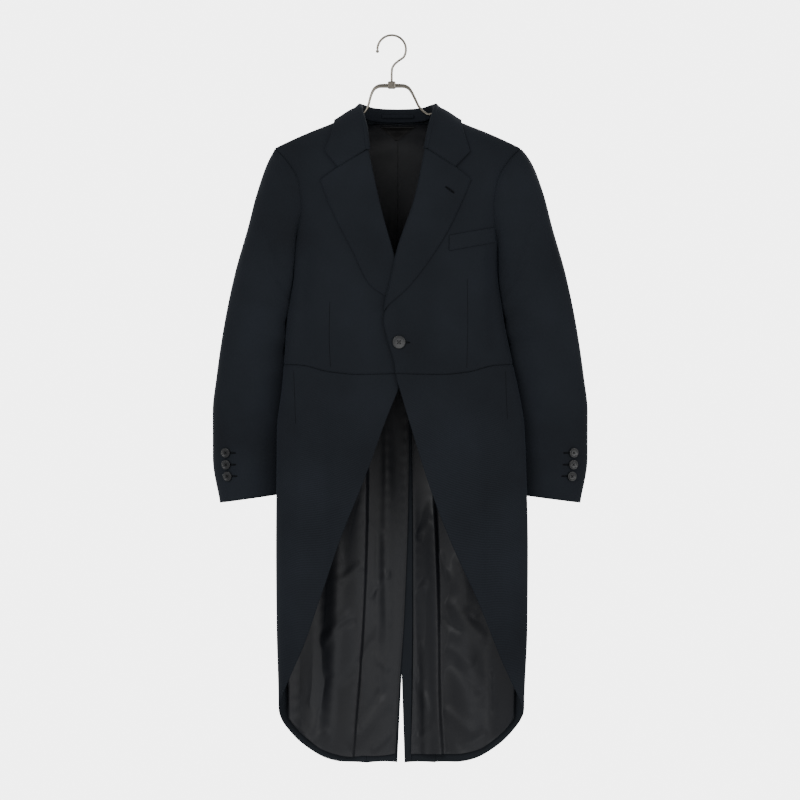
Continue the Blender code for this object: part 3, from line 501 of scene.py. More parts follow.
# %% [markdown]
# ## From a grid of points to a sheet of cloth
# A piece of cloth is a grid of points with a Solidify modifier, whose thickness grows inwards.
# The UV map gives each point its way along the cloth in metres. The flat cut is measured on
# the grid: cloth doesn't stretch as it hangs, so its area is the cut's area.


# %% Sheet maker
NARROWEST_CUT = 0.012   # a narrow facing is cut with turnings
SEAM_SINK = 0.7         # mm that an edge sinks
SEAM_REACH = 2.6        # mm from the edge over which it sinks


def cloth_ways(points):
    """Way along the rows and down the columns of a grid, in metres."""
    steps = np.linalg.norm(np.diff(points, axis=1), axis=2)
    across = np.concatenate([np.zeros((len(points), 1)), np.cumsum(steps, axis=1)], axis=1)
    steps = np.linalg.norm(np.diff(points, axis=0), axis=2)
    down = np.concatenate([np.zeros((1, points.shape[1])), np.cumsum(steps, axis=0)], axis=0)
    return across * MM, down * MM


def cloth_sheet(name, points, looks, thick=CLOTH, slot_name="wool", rests=(), flip=False,
                widest=slice(None)):
    """Sheet of cloth through a grid of points in mm, in place of its solid.

    widest picks the rows that may give the cut's width, where an edge runs along a long curve.
    """
    rows, cols = points.shape[:2]
    across, down = cloth_ways(points)
    place = (points + np.array([COAT_X, 0, 0])).reshape(-1, 3) * MM
    faces = []
    for i in range(rows - 1):
        for j in range(cols - 1):
            a = i * cols + j
            face = (a, a + cols, a + cols + 1, a + 1)
            faces.append(face[::-1] if flip else face)
    mesh = bpy.data.meshes.new(name)
    mesh.from_pydata(place.tolist(), [], faces)
    ways = mesh.uv_layers.new(name="cloth")
    index = np.zeros(len(mesh.loops), dtype=int)
    mesh.loops.foreach_get("vertex_index", index)
    both = np.stack([across.ravel()[index], down.ravel()[index]], axis=1)
    ways.data.foreach_set("uv", both.ravel())
    for look in looks:
        mesh.materials.append(look)
    mesh.shade_smooth()
    if looks == [satin]:    # a thin crisp edge, with no shade at its seams
        used = np.bincount([loop.edge_index for loop in mesh.loops], minlength=len(mesh.edges))
        for edge in mesh.edges:
            edge.use_edge_sharp = used[edge.index] == 1
    sheet = bpy.data.objects.new(name + "_cloth", mesh)
    bpy.context.scene.collection.objects.link(sheet)
    wall = sheet.modifiers.new("Cloth thickness", "SOLIDIFY")
    wall.thickness = thick * MM
    wall.offset = -1.0
    wall.material_offset = len(looks) - 1
    area = sum(face.area for face in mesh.polygons)
    width = max(float(across[widest, -1].max()), NARROWEST_CUT)
    length = max(float(down[-1].max()), NARROWEST_CUT)
    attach(sheet, "root")
    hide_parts(name)
    area = min(area, width * length)
    print(f"{name}: cut {width * 1000:.0f} x {length * 1000:.0f} mm, {area:.4f} m2")


def spread(points, count, ease=1.0):
    """Count points along a smooth curve, or a line of two; an ease over 1 crowds its start."""
    points = np.array(points, float)
    length = np.concatenate([[0], np.cumsum(np.linalg.norm(np.diff(points, axis=0), axis=1))])
    at = length[-1] * np.linspace(0, 1, count) ** ease
    if len(points) > 2:
        return np.stack([smooth(length, points[:, k], at) for k in range(points.shape[1])], axis=1)
    return np.stack([np.interp(at, length, points[:, k]) for k in range(points.shape[1])], axis=1)


def fill(top, bottom, start, end, fade=4):
    """Grid of a panel between its four edges; the top's and bottom's bends fade out inwards."""
    v = np.linspace(0, 1, len(start))[:, None, None]
    u = np.linspace(0, 1, len(top))[None, :, None]
    across = (1 - u) * start[:, None] + u * end[:, None]
    bend_top = top[None] - (1 - u) * top[0] - u * top[-1]
    bend_bottom = bottom[None] - (1 - u) * bottom[0] - u * bottom[-1]
    return across + (1 - v) ** fade * bend_top + v ** fade * bend_bottom


def seam_dip(grid):
    """How far a sheet sinks at its edges, where it is turned in and sewn."""
    flat = body_surface(grid[..., 0], grid[..., 1])
    across, down = (way / MM for way in cloth_ways(flat))
    reach = np.minimum(across, across[:, -1:] - across)
    reach = np.minimum(reach, np.minimum(down, down[-1:] - down))
    return -SEAM_SINK * np.exp(-(reach / SEAM_REACH) ** 2)


def hung(grid, lift=0.0, sunk=1.0):
    """Points of a grid of angles and falls, with its creases, sunk edges and a lift."""
    return body(grid[..., 0], grid[..., 1], drape(grid) + seam_dip(grid) * sunk + lift)


# %% [markdown]
# ## Fronts
# A forebody runs from the shoulder to the waist seam. The wearer's left one laps over the
# right, so it is lifted a little where they cross. Its armhole comes from a table that the
# sleeve uses too, so that both meet at the same line.

# %% Seam places
# Armhole on the wearer's left, from the shoulder down the front and up the back
ARMHOLE = table(
    "angle z",
    (81.0, -186),
    (67.0, -207),
    (62.5, -239),
    (63.5, -277),
    (70.0, -318),
    (80.0, -350),
    (92.0, -362),
    (104.0, -348),
    (113.0, -310),
    (117.0, -265),
    (115.0, -225),
    (107.0, -198),
    (99.0, -186),
)
SIDE_SEAM = 81.0     # angle of the seam between forebody and side body
BACK_SEAM = 162.0    # angle of the back's outer edge at the waist
BACK_SEAM_LOW = 163  # the same at the hem
HALF_SEAM = SEAM / 2
WAIST = table("x z", (0, -557), (64, -558.5), (113, -554), (160, -543), (195, -541))
NECK_POINT = 70      # where shoulder seam meets collar, from the middle
SHOULDER_POINT = 203
SHOULDER_HALF = 206  # half width of the body at the shoulder, which the ridge's angles use
NECK_BACK = -139
WAIST_BACK = -541    # height of the waist seam behind the side seams
HEM = -1203
HALF_WAIST = 190
HALF_SKIRT = 200
VENT_ANGLE = 1.7     # how far each side of the vent stands open at the hem
VENT_TOP = -1055
# Front-view edges in mm from the coat's middle; the left front lies on top
ROLL = {
    "left": [(61, -128), (45, -196), (31, -271), (2, -359), (-8, -405), (-20, -451)],
    "right": [(-65, -131), (-49, -196), (-28, -291), (-3, -379), (6, -412)],
}
FRONT_EDGE = {
    "left": [(-20, -451), (-23, -470), (-17, -500), (-5, -545), (-4, -556.9)],
    "right": [(6, -412), (14, -448), (16, -490), (12, -530), (10, -556.9)],
}
LAPEL_EDGE = {
    "left": [(120, -239), (105, -275), (82, -323), (53, -369), (17, -415), (-15, -444)],
    "right": [(-127, -240), (-110, -284), (-74, -356), (-45, -412), (-14, -434)],
}
GORGE = {"left": [(47, -190), (94, -219)], "right": [(-50, -191), (-98, -220)]}
CUTAWAY = {
    "left": [(-2, -566), (20, -640), (53, -746), (91, -844), (126, -919), (152, -981),
             (170, -1029), (194, -1078)],
    "right": [(2, -580), (-16, -623), (-47, -711), (-91, -821), (-122, -910), (-153, -1003),
              (-179, -1060), (-190, -1082)],
}
# Hem of the tails seen inside the back, from the side to the vent
TAIL_HEM = table(
    "x z",
    (207, -1128), (198, -1147), (186, -1163), (165, -1181), (137, -1196), (100, HEM),
    (10, HEM - 1),
)
print("Armhole rows:", len(ARMHOLE["z"]))


# %% Seam lines
def overlap_lift(angle, fall):
    """How far the left front stands out where it lies over the right one."""
    spot = body_surface(angle, fall)
    near = np.clip((74 - spot[..., 0]) / 62, 0, 1)
    high = np.clip((spot[..., 2] + 800) / 190, 0, 1)
    return 5.4 * near * near * (3 - 2 * near) * high


def armhole(first, last, count, side):
    """Stretch of the armhole between two rows of its table."""
    part = slice(first, last + 1)
    curve = spread(at_height(ARMHOLE["angle"][part], ARMHOLE["z"][part]), count)
    return curve * (sided(side), 1)


def shoulder(panel_name, x_from, x_to, count, side):
    """Shoulder seam on the ridge, as the edge of the front or of the back."""
    x = np.linspace(x_from, x_to, count)
    turn = np.degrees(np.arcsin(x / SHOULDER_HALF))
    turn = turn if panel_name == "front" else 180 - turn
    return np.stack([turn * sided(side), np.zeros(count)], axis=1)


def waist(angles):
    """Waist seam as angle and fall, straight behind the side seam."""
    x = HALF_WAIST * np.sin(np.radians(np.abs(angles)))
    z = np.where(np.abs(angles) < 90, smooth(WAIST["x"], WAIST["z"], x), WAIST_BACK)
    return at_height(angles, z)


def panel_lift(side, grid):
    """Lift of a front or skirt, which only the wearer's left one has."""
    return overlap_lift(grid[..., 0], grid[..., 1]) if side == "left" else 0 * grid[..., 0]


print("Waist seam at the side:", waist(np.array([80.0])).round(1))


# %% Fronts
def make_front(side):
    """Forebody between the roll and front edge, the armhole with the side seam, and the waist."""
    rows, cols = 150, 90
    s = sided(side)
    edge = np.array([(s * NECK_POINT, ridge(NECK_POINT))] + ROLL[side][1:] + FRONT_EDGE[side][1:])
    start = spread(front_at(edge[:, 0], edge[:, 1]), rows, ease=1.2)
    seam_top = armhole(0, 5, 60, side)
    seam_top[0] = shoulder("front", SHOULDER_POINT, SHOULDER_POINT, 1, side)[0]
    waist_end = waist(np.array([s * SIDE_SEAM]))[0, 1]
    falls = np.linspace(seam_top[-1, 1] + 4, waist_end, 60)
    seam_low = np.stack([np.full(60, s * SIDE_SEAM), falls], axis=1)
    end = spread(np.concatenate([seam_top, seam_low]), rows, ease=1.2)
    top = shoulder("front", NECK_POINT, SHOULDER_POINT, cols, side)
    start[0], end[0] = top[0], top[-1]
    bottom = waist(np.linspace(start[-1, 0], end[-1, 0], cols))
    bottom[:, 1] -= HALF_SEAM
    start[-1], end[-1] = bottom[0], bottom[-1]
    grid = fill(top, bottom, start, end)
    points = hung(grid, panel_lift(side, grid))
    cloth_sheet("front_" + side, points, WOOL_LOOKS, flip=side == "right")


for side in SIDES:
    make_front(side)

# %% [markdown]
# ## Side bodies and backs
# The underarm piece joins the forebody to the back. The seam behind it runs in a curve from
# the armhole to the waist, as a tailor shapes the back. The backs go from the neck to the hem
# in one, and part at the vent.


# %% Side bodies
def side_body_seam():
    """Seam from the back of the armhole down to the waist, on the wearer's left."""
    angle = np.array([113, 128, 147, 158, BACK_SEAM])
    return spread(at_height(angle, np.array([-310, -390, -460, -505, WAIST_BACK])), 80)


def make_side_body(side):
    """Underarm piece between the armhole, the waist and its two seams."""
    rows, cols = 80, 60
    s = sided(side)
    top = armhole(5, 8, cols, side)
    least = SIDE_SEAM + 0.02 * np.arange(cols)    # never in front of the side seam
    top[:, 0] = s * np.maximum(np.abs(top[:, 0]), least)
    end = side_body_seam() * (s, 1) + (0, HALF_SEAM)
    waist_line = waist(np.linspace(s * SIDE_SEAM, end[-1, 0], cols))
    waist_line[:, 1] -= HALF_SEAM
    low = np.linspace(top[0, 1], waist_line[0, 1], rows)
    start = np.stack([np.full(rows, s * SIDE_SEAM), low], axis=1)
    top[-1], end[-1] = end[0], waist_line[-1]
    points = hung(fill(top, waist_line, start, end))
    rests = ["front_" + side, "back_" + side]
    cloth_sheet("side_body_" + side, points, WOOL_LOOKS, rests=rests, flip=side == "right")


for side in SIDES:
    make_side_body(side)


# %% Backs
def make_back(side):
    """Back from the neck to the hem, which parts from the other back below the vent's top."""
    cols = 80
    s = sided(side)
    hole = spread(at_height(ARMHOLE["angle"][8:], ARMHOLE["z"][8:])[::-1], 50, ease=1.5)
    hole[0] = shoulder("back", SHOULDER_POINT, SHOULDER_POINT, 1, "left")[0]
    tail_angles = np.array([BACK_SEAM, BACK_SEAM_LOW]) * s
    tail = spread(at_height(tail_angles, np.array([WAIST_BACK, HEM])) * (s, 1), 120)
    end = np.concatenate([hole, side_body_seam()[1:], tail[1:]]) * (s, 1)
    level = body_surface(end[:, 0], end[:, 1])[:, 2]
    level = NECK_BACK + (level - level[0]) * (HEM - NECK_BACK) / (level[-1] - level[0])
    open_angle = VENT_ANGLE * np.clip((VENT_TOP - level) / (VENT_TOP - HEM), 0, 1)
    start = at_height(180 - open_angle, level) * (s, 1)
    neck = spread(at_height(np.array([180, 170, 163]), np.array([NECK_BACK, -137, -130])), 16)
    ridge_line = shoulder("back", NECK_POINT, SHOULDER_POINT, cols - 16, "left")
    top = np.concatenate([neck, ridge_line]) * (s, 1)
    start[0], end[0] = top[0], top[-1]
    bottom = spread([start[-1], end[-1]], cols)
    points = hung(fill(top, bottom, start, end, fade=8))
    cloth_sheet("back_" + side, points, WOOL_LOOKS, flip=side == "left")


for side in SIDES:
    make_back(side)

# %% [markdown]
# ## Skirts
# From the waist seam the skirts curve away to the tails: this is the cutaway. A skirt wraps
# round the side and ends at the back, so its lower edge is one line of heights over angles.


# %% Skirts
def tail_bottom(side):
    """Lower edge of a skirt: its angles, and its heights there, from the front to the vent."""
    cut = np.array(CUTAWAY[side])
    front = front_at(cut[:, 0], cut[:, 1])[:, 0] * sided(side)
    behind = back_at(TAIL_HEM["x"], TAIL_HEM["z"])[:, 0]
    return np.concatenate([front, behind]), np.concatenate([cut[:, 1], TAIL_HEM["z"]])


def softened(values, reach=4):
    """Values with their corners rounded by a moving average, the ends kept."""
    before = 2 * values[0] - values[reach:0:-1]
    after = 2 * values[-1] - values[-2:-reach - 2:-1]
    padded = np.concatenate([before, values, after])
    return np.convolve(padded, np.full(2 * reach + 1, 1 / (2 * reach + 1)), mode="valid")


def make_skirt(side):
    """Skirt from the waist seam to the cutaway edge and hem, round to the back's seam."""
    rows = 140
    s = sided(side)
    bottom_angle, bottom_z = tail_bottom(side)
    angles = np.linspace(bottom_angle[0], BACK_SEAM, 180)
    top = waist(angles * s) + (0, SEAM)
    low = at_height(angles * s, softened(smooth(bottom_angle, bottom_z, angles)))
    start, end = spread([top[0], low[0]], rows), spread([top[-1], low[-1]], rows)
    end[:, 0] += s * np.linspace(0, BACK_SEAM_LOW - BACK_SEAM, rows)
    grid = fill(top, low, start, end)
    points = hung(grid, panel_lift(side, grid))
    rests = ["front_" + side, "back_" + side]
    cloth_sheet("skirt_" + side, points, WOOL_LOOKS, rests=rests, flip=side == "right", widest=0)


for side in SIDES:
    make_skirt(side)

# %% [markdown]
# ## Lapels
# A lapel is the front's own cloth turned over at the roll line. Its first columns go round a
# half circle, from the front's inner side to its outer side, so that the fold looks soft.

# %% Lapels
ROLL_STEPS = 9      # columns round the half circle
LAPEL_THICK = 1.3
LAPEL_BELLY = 2.2   # how far its middle stands off the front


def lapel_plan(side):
    """Front-view grid of a lapel, with its lift over the body."""
    rows, cols = 110, 40
    gorge = np.array(GORGE[side])
    edge = np.array(LAPEL_EDGE[side])
    roll = np.array([tuple(gorge[0])] + ROLL[side][2:])
    top = np.concatenate([spread(gorge, 30), spread([gorge[1], edge[0]], 11)[1:]])
    start, end = spread(roll, rows), spread(edge, rows)
    bottom = spread([start[-1], end[-1]], cols)
    plan = fill(top, bottom, start, end)
    grid = front_at(plan[..., 0], plan[..., 1])
    across = np.linspace(0, 1, cols)
    belly = LAPEL_BELLY * np.sin(across * math.pi) ** 0.7
    down = np.linspace(1, 0, rows)[:, None]
    lift = LAYER_GAP + CLOTH + belly[None] * down + panel_lift(side, grid)
    return plan, lift


def rolled(plan, lift):
    """Grid of a lapel, with the fold at its roll line put before it."""
    way = plan[:, 0] - plan[:, 1]
    way /= np.linalg.norm(way, axis=1, keepdims=True)
    high = lift[:, 0]
    radius = (high + CLOTH) / 2
    columns, lifts = [], []
    for turn in np.linspace(math.pi, 0, ROLL_STEPS)[:-1]:
        columns.append(plan[:, 0] + way * (radius * math.sin(turn))[:, None])
        lifts.append(high - radius + radius * math.cos(turn))
    plan = np.concatenate([np.stack(columns, axis=1), plan], axis=1)
    lift = np.concatenate([np.stack(lifts, axis=1), lift], axis=1)
    return front_at(plan[..., 0], plan[..., 1]), lift


for side in SIDES:
    grid, lift = rolled(*lapel_plan(side))
    cloth_sheet("lapel_" + side, hung(grid, lift), [wool], LAPEL_THICK, rests=["front_" + side],
                flip=side == "right")

# %% [markdown]
# ## Chest pocket
# The welt is a band that slants up to the armhole. Only this band shows, sewn down on three
# sides.

# %% Welt
WELT_LIFT = 2.4
WELT_THICK = 1.4
low = spread([(84, -356), (160, -341)], 40)
high = spread([(84, -331), (158, -317)], 40)
ends = [spread([high[k], low[k]], 16) for k in (0, -1)]
plan = fill(high, low, *ends)
grid = front_at(plan[..., 0], plan[..., 1])
cloth_sheet("breast_welt", hung(grid, WELT_LIFT), [wool], WELT_THICK, rests=["front_left"])

# %% [markdown]
# ## Sleeves
# Each sleeve has an upper and an under piece. Their sections are ovals that bend forward, with
# the head blended into the armhole. Soft creases gather inside the elbow.

# %% Sleeve tables
# Sleeve sections: place down the sleeve, outer and inner edge, depth of its middle, half depth
SLEEVE = table(
    "t out_x out_z in_x in_z y deep",
    (0.00, 206, -190, 168, -362, 2, 50),
    (0.10, 222, -214, 163, -384, 6, 49),
    (0.20, 238, -262, 160, -403, 10, 48),
    (0.30, 252, -315, 158, -421, 15, 47),
    (0.42, 274, -391, 156, -450, 22, 45),
    (0.55, 292, -475, 162, -497, 31, 43),
    (0.67, 305, -559, 171, -560, 40, 41),
    (0.77, 312, -622, 178, -620, 46, 39),
    (0.88, 312, -695, 184, -688, 51, 37),
    (1.00, 300, -771, 184, -755, 54, 35),
)
SLEEVE_SHIFT = 4     # both sleeves hang a little to the wearer's left
HIND_SEAM = 12       # places of the two sleeve seams round the sleeve, in degrees
INSEAM = 195
SLEEVE_TURN = 0.4    # half a seam gap, in degrees
SLEEVE_CLEAR = 0.3   # from the coat's side
SLEEVE_LENGTH = 600.0
CREASE_SHIFT = 14    # how much further down the right sleeve's creases are
TURNING = 9.0        # seam allowance of the sleeve head, inside the armhole
SLEEVE_AROUND = 1.05 # mm round the sleeve for one degree
# Creases in mm: way round from the outer edge and way down the sleeve
SLEEVE_CREASES = table(
    "a0 b0 a1 b1 wide high",
    (-60, 16, 100, 16, 10, 1.6), (60, 130, 120, 215, 14, -2.2), (75, 190, 150, 262, 10, 1.8),
    (80, 265, 175, 300, 11, -2.6), (70, 318, 170, 322, 9, 2.2), (85, 352, 180, 340, 10, -2.4),
    (60, 395, 150, 378, 12, 1.6), (30, 250, 70, 470, 18, -1.8), (20, 90, 34, 230, 16, 1.4),
    (55, 470, 130, 455, 12, -1.4), (70, 540, 150, 520, 13, 1.3), (215, 250, 250, 330, 14, -1.8),
    (240, 130, 280, 230, 16, -1.8), (250, 360, 300, 420, 16, 1.5), (300, 200, 320, 420, 20, -1.4),
)


# %% Sleeve surface
def body_limit(y, z, s):
    """Reach of the body's side at a depth, or a very low value past its front or back."""
    deep = np.where(y < 0, section("front", z), section("back", z))
    facing = np.clip(np.abs(y) / deep, 0, 1) ** (1 / BOXINESS)
    side = np.sqrt(1 - facing ** 2)
    tuck = np.where(y > 0, 1 - back_tuck(z) * facing * side, 1)
    reach = section("half", z) * side * tuck + s * section("mid", z)
    return np.where(np.abs(y) < deep, reach, -999)


def sleeve(side, t, turn):
    """Point of the sleeve's outer face: t down the sleeve, turn round it from its outer edge."""
    t, turn = np.broadcast_arrays(np.asarray(t, float), np.asarray(turn, float))
    s = sided(side)
    value = {name: smooth(SLEEVE["t"], SLEEVE[name], t) for name in SLEEVE}
    radians = np.radians(turn)
    half = (1 + np.cos(radians)) / 2
    x = value["in_x"] + (value["out_x"] - value["in_x"]) * half
    z = value["in_z"] + (value["out_z"] - value["in_z"]) * half
    y = value["y"] - value["deep"] * np.sin(radians)
    hanging, beside = x + s * SLEEVE_SHIFT * half, body_limit(y, z, s) + SLEEVE_CLEAR
    x = (hanging + beside + np.sqrt((hanging - beside) ** 2 + 2)) / 2
    loop = spread(at_height(ARMHOLE["angle"], ARMHOLE["z"]), 361)
    spot = body_surface(*[np.interp(turn % 360.0001, np.arange(361), loop[:, k]) for k in (0, 1)])
    blend = np.clip(t / 0.22, 0, 1)
    blend = (1 - (1 - blend) ** 2)[..., None]
    hole = spot + np.array([0.9, 0, 0])
    hole[..., 0] += (s - 1) * section("mid", hole[..., 2])
    points = np.stack([x, y, z], axis=-1) * blend + hole * (1 - blend)
    points[..., 0] *= s
    return points


def sleeve_skin(side, t, turn, out):
    """Sleeve point moved out along the surface."""
    around = sleeve(side, t, turn + 2.0) - sleeve(side, t, turn - 2.0)
    down = sleeve(side, np.minimum(t + 0.01, 1), turn)
    down = down - sleeve(side, np.maximum(t - 0.01, 0), turn)
    normal = np.cross(around, down) * sided(side)
    normal /= np.linalg.norm(normal, axis=-1, keepdims=True)
    return sleeve(side, t, turn) + normal * np.asarray(out)[..., None]


def sleeve_creases(side, t, turn):
    """Crease height of a sleeve, the right one's a little further down."""
    down = t * SLEEVE_LENGTH + (0 if side == "left" else -CREASE_SHIFT)
    return crease_height(SLEEVE_CREASES, turn * SLEEVE_AROUND, down)


print("Left cuff:", sleeve("left", 1.0, 0.0).round(1))


# %% Sleeves
def make_sleeve(side):
    """Upper and under piece of a sleeve, each with a turning inside the armhole."""
    spans = {
        "top_sleeve_": np.linspace(HIND_SEAM + SLEEVE_TURN, INSEAM - SLEEVE_TURN, 56),
        "under_sleeve_": np.linspace(INSEAM + SLEEVE_TURN, 360 + HIND_SEAM - SLEEVE_TURN, 50),
    }
    for name, around in spans.items():
        t, turn = np.broadcast_arrays(np.linspace(0, 1, 120)[:, None], around[None])
        points = sleeve_skin(side, t, turn, sleeve_creases(side, t, turn))
        inward = points[0] - np.array([sided(side) * 60, 0, -275])
        inward /= np.linalg.norm(inward, axis=1, keepdims=True)
        turned = [points[0] - inward * reach for reach in np.linspace(TURNING, 0, 5)[:-1]]
        points = np.concatenate([np.stack(turned), points])
        rests = ["front_" + side, "back_" + side]
        cloth_sheet(name + side, points, WOOL_LOOKS, rests=rests, flip=side == "left")


for side in SIDES:
    make_sleeve(side)

# %% [markdown]
# ## Collar
# The collar stands up round the neck, rolls over and falls on the shoulders. Its cross-section
# goes from the foot of the stand over the roll to the outer edge, and its ends meet the lapels
# at the gorge.

# %% Collar tables
# Collar on the wearer's left, from the middle of the back to the gorge: the roll line,
# the outer edge (behind 1, on the ridge 0, in front -1) and the height of the stand
COLLAR = table(
    "x y z edge_x edge_z behind stand",
    (0, 50, -118, 0, -166, 1, 19),
    (22, 48, -117.5, 32, -165, 1, 19),
    (42, 39, -116, 62, -160, 1, 18.5),
    (55, 23, -113, 86, -150, 1, 15),
    (63, 5, -111.5, 103, -138, 0, 6),
    (63.5, -12, -118, 105, -150, -1, 4),
    (61.5, -26, -130, 108, -163, -1, 5),
    (54.5, -45, -158, 113, -178, -1, 5),
    (47, -64, -189, 118, -195, -1, 3),
)
COLLAR_TIP = {"left": (118, -195), "right": (-120, -193)}
FALL_LIFT = 2.8      # the fall's outer face over the body
ROLL_LIFT = 1.6      # the roll line over that
STAND_LEAN = 6.0     # how far the foot of the stand is behind its top, at the back
COLLAR_THICK = 1.4
COLLAR_COLS = 60     # columns from the middle of the back to each end
RIGHT_END_COLS = 8
print("Collar places:", len(COLLAR["x"]))


# %% Collar helpers
def depth_at(points):
    """Depth of the body in front of its middle plane, or behind it, at points."""
    x, y, z = points[..., 0], points[..., 1], points[..., 2]
    side = np.clip((x - section("mid", z)) / section("half", z), -0.98, 0.98)
    facing = (1 - side ** 2) ** (BOXINESS / 2)
    return np.where(y < 0, section("front", z), section("back", z)) * facing


def off_body(points, lift):
    """Moves points out that are nearer to the body than lift."""
    x, y, z = points[..., 0], points[..., 1], points[..., 2]
    drop = ridge(x) - z
    up = np.clip(SHOULDER_ROUND - drop, 0, None)
    share = np.sqrt((y / depth_at(points)) ** 2 + (up / SHOULDER_ROUND) ** 2)
    length = np.sqrt(y ** 2 + up ** 2)
    scale = np.maximum((length / share + lift) / length, 1)
    moved = points.copy()
    moved[..., 1] = y * scale
    moved[..., 2] = z + up * (scale - 1)
    return moved


def place_on_body(points):
    """Puts points on the body's surface, keeping their place in the front view."""
    x, z = points[..., 0], points[..., 2]
    drop = np.clip(ridge(x) - z, 0, None)
    tilt = np.sqrt(np.clip(1 - np.clip(1 - drop / SHOULDER_ROUND, 0, 1) ** 2, 0, 1))
    placed = points.copy()
    placed[..., 1] = np.sign(points[..., 1]) * depth_at(points) * tilt
    return placed


def grid_normals(grid):
    """Directions square to a grid of points."""
    rows = np.gradient(grid, axis=0)
    cols = np.gradient(grid, axis=1)
    normal = np.cross(rows, cols)
    return normal / np.linalg.norm(normal, axis=-1, keepdims=True)


def finer(points, rows, cols):
    """Smooth grid of points with more rows and columns."""
    points = np.stack([spread_even(points[:, j], rows) for j in range(points.shape[1])], axis=1)
    return np.stack([spread_even(row, cols) for row in points])


def spread_even(points, count):
    """Smooth curve through points, sampled evenly by their order."""
    order = np.arange(len(points))
    at = np.linspace(0, len(points) - 1, count)
    return np.stack([smooth(order, points[:, k], at) for k in range(3)], axis=1)


print("Helpers ready")


# %% Collar
def make_collar():
    """Stand, roll and fall in one grid, from the wearer's right end round to the left one."""
    last = len(COLLAR["x"]) - 1
    steps = np.linspace(0, last, COLLAR_COLS + 1)
    half = {name: smooth(np.arange(last + 1), COLLAR[name], steps) for name in COLLAR}
    mirror = {name: np.concatenate([values[:0:-1], values]) for name, values in half.items()}
    sign = np.concatenate([-np.ones(COLLAR_COLS), np.ones(COLLAR_COLS + 1)])
    roll = np.stack([mirror["x"] * sign, mirror["y"], mirror["z"]], axis=1)
    edge = np.stack([mirror["edge_x"] * sign, 60 * mirror["behind"], mirror["edge_z"]], axis=1)
    ridge_gap = np.abs(edge[:, 1]) < 50
    edge[:, 1] = np.where(ridge_gap, edge[:, 1] * 0.5, edge[:, 1])
    # The right end moves to its own gorge, which isn't quite the left one's mirror image
    share = np.clip(1 - np.arange(len(roll)) / RIGHT_END_COLS, 0, 1)[:, None]
    gorge = np.array(GORGE["right"][0]) + (0, 0.4)
    roll[:, ::2] += share * (gorge - roll[0, ::2])
    edge[:, ::2] += share * (np.array(COLLAR_TIP["right"]) - edge[0, ::2])
    edge = off_body(place_on_body(edge), FALL_LIFT)
    roll = off_body(roll, FALL_LIFT + ROLL_LIFT)
    # Directions along the roll line, out from it and up from it
    tangent = np.gradient(roll, axis=0)
    tangent /= np.linalg.norm(tangent, axis=1, keepdims=True)
    outward = edge - roll
    outward -= np.sum(outward * tangent, axis=1, keepdims=True) * tangent
    outward[:, 2] *= 0.3
    outward /= np.linalg.norm(outward, axis=1, keepdims=True)
    upward = np.cross(outward, tangent)
    upward *= np.sign(upward[:, 2:] + 0.001)
    upward /= np.linalg.norm(upward, axis=1, keepdims=True)
    # Inner face of the stand, from its foot to the roll, where it leans back behind the neck
    stand_high = mirror["stand"][:, None]
    behind = np.clip(mirror["behind"], 0, 1)[:, None]
    upright = upward * (1 - behind) + np.array([0, 0, 1]) * behind
    level = np.linalg.norm(outward[:, :2], axis=1, keepdims=True)
    lean = behind * STAND_LEAN * outward * (1, 1, 0) / level
    rows = [
        roll + outward * out - upright * (stand_high * share + 3) + lean * share
        for out, share in ((-2.9, 1.0), (-3.1, 0.5), (-2.9, 0.0))
    ]
    rows += [roll - outward * 1.9 - upward * 0.9, roll + 0, roll + outward * 2.0 - upward * 1.0]
    # The fall, whose ends lie on the body along the gorge and the notch
    start = rows[-1]
    ends = []
    for side in (-1, 1):
        name = "left" if side > 0 else "right"
        gorge = np.array(GORGE[name] + [COLLAR_TIP[name]])
        first = start[0 if side < 0 else -1]
        plan = np.concatenate([spread(gorge[:2], 17)[1:], spread(gorge[1:], 9)[1:]])
        spots = front_at(plan[:, 0], plan[:, 1] + 0.7)
        ends.append(np.concatenate([[first], body(spots[:, 0], spots[:, 1], CLOTH + LAYER_GAP)]))
    fall = fill(ends[0], ends[1], start, edge, fade=5)
    lift = FALL_LIFT + 1.5 * np.sin(np.linspace(0, 1, 25) * math.pi)[None]
    fall[1:-1] = off_body(fall[1:-1], lift)
    outer = np.concatenate([np.stack(rows[:-1], axis=1), fall], axis=1)
    stand = finer(outer[:, :6], len(outer), 24)
    outer = np.concatenate([stand, outer[:, 6:]], axis=1)
    points = outer + grid_normals(outer) * COLLAR_THICK
    cloth_sheet("collar", points, [wool], COLLAR_THICK, rests=["back_left", "back_right"])


make_collar()

# %% [markdown]
# ## Linings and vent facings
# The satin hangs a little free inside the backs, so it falls in folds of its own: deep pleats
# down the tails, and small puckers where it is sewn to the facing and along its seams.

# %% Folds of the lining
# Ridges down the lining in mm of the front view, each with the reach of its two sides
LINING_FOLDS = {
    "left": table(
        "x0 z0 x1 z1 left right high",
        (28, -740, 30, -1150, 9, 9, -2.5), (56, -700, 76, -1199, 26, 3.5, 8.0),
        (104, -790, 120, -1100, 24, 20, 5.0), (150, -960, 152, -1110, 14, 14, -4.0),
        (40, -1000, 44, -1199, 5, 9, 2.2),
    ),
    "right": table(
        "x0 z0 x1 z1 left right high",
        (-50, -670, -76, -1199, 34, 3.5, 7.5), (-22, -620, -16, -960, 7, 10, 2.8),
        (-34, -760, -30, -1080, 6, 8, -2.0), (-128, -850, -132, -1100, 16, 18, -5.0),
        (-100, -800, -112, -1130, 13, 8, 3.0), (-170, -1000, -172, -1140, 14, 12, 3.0),
    ),
}
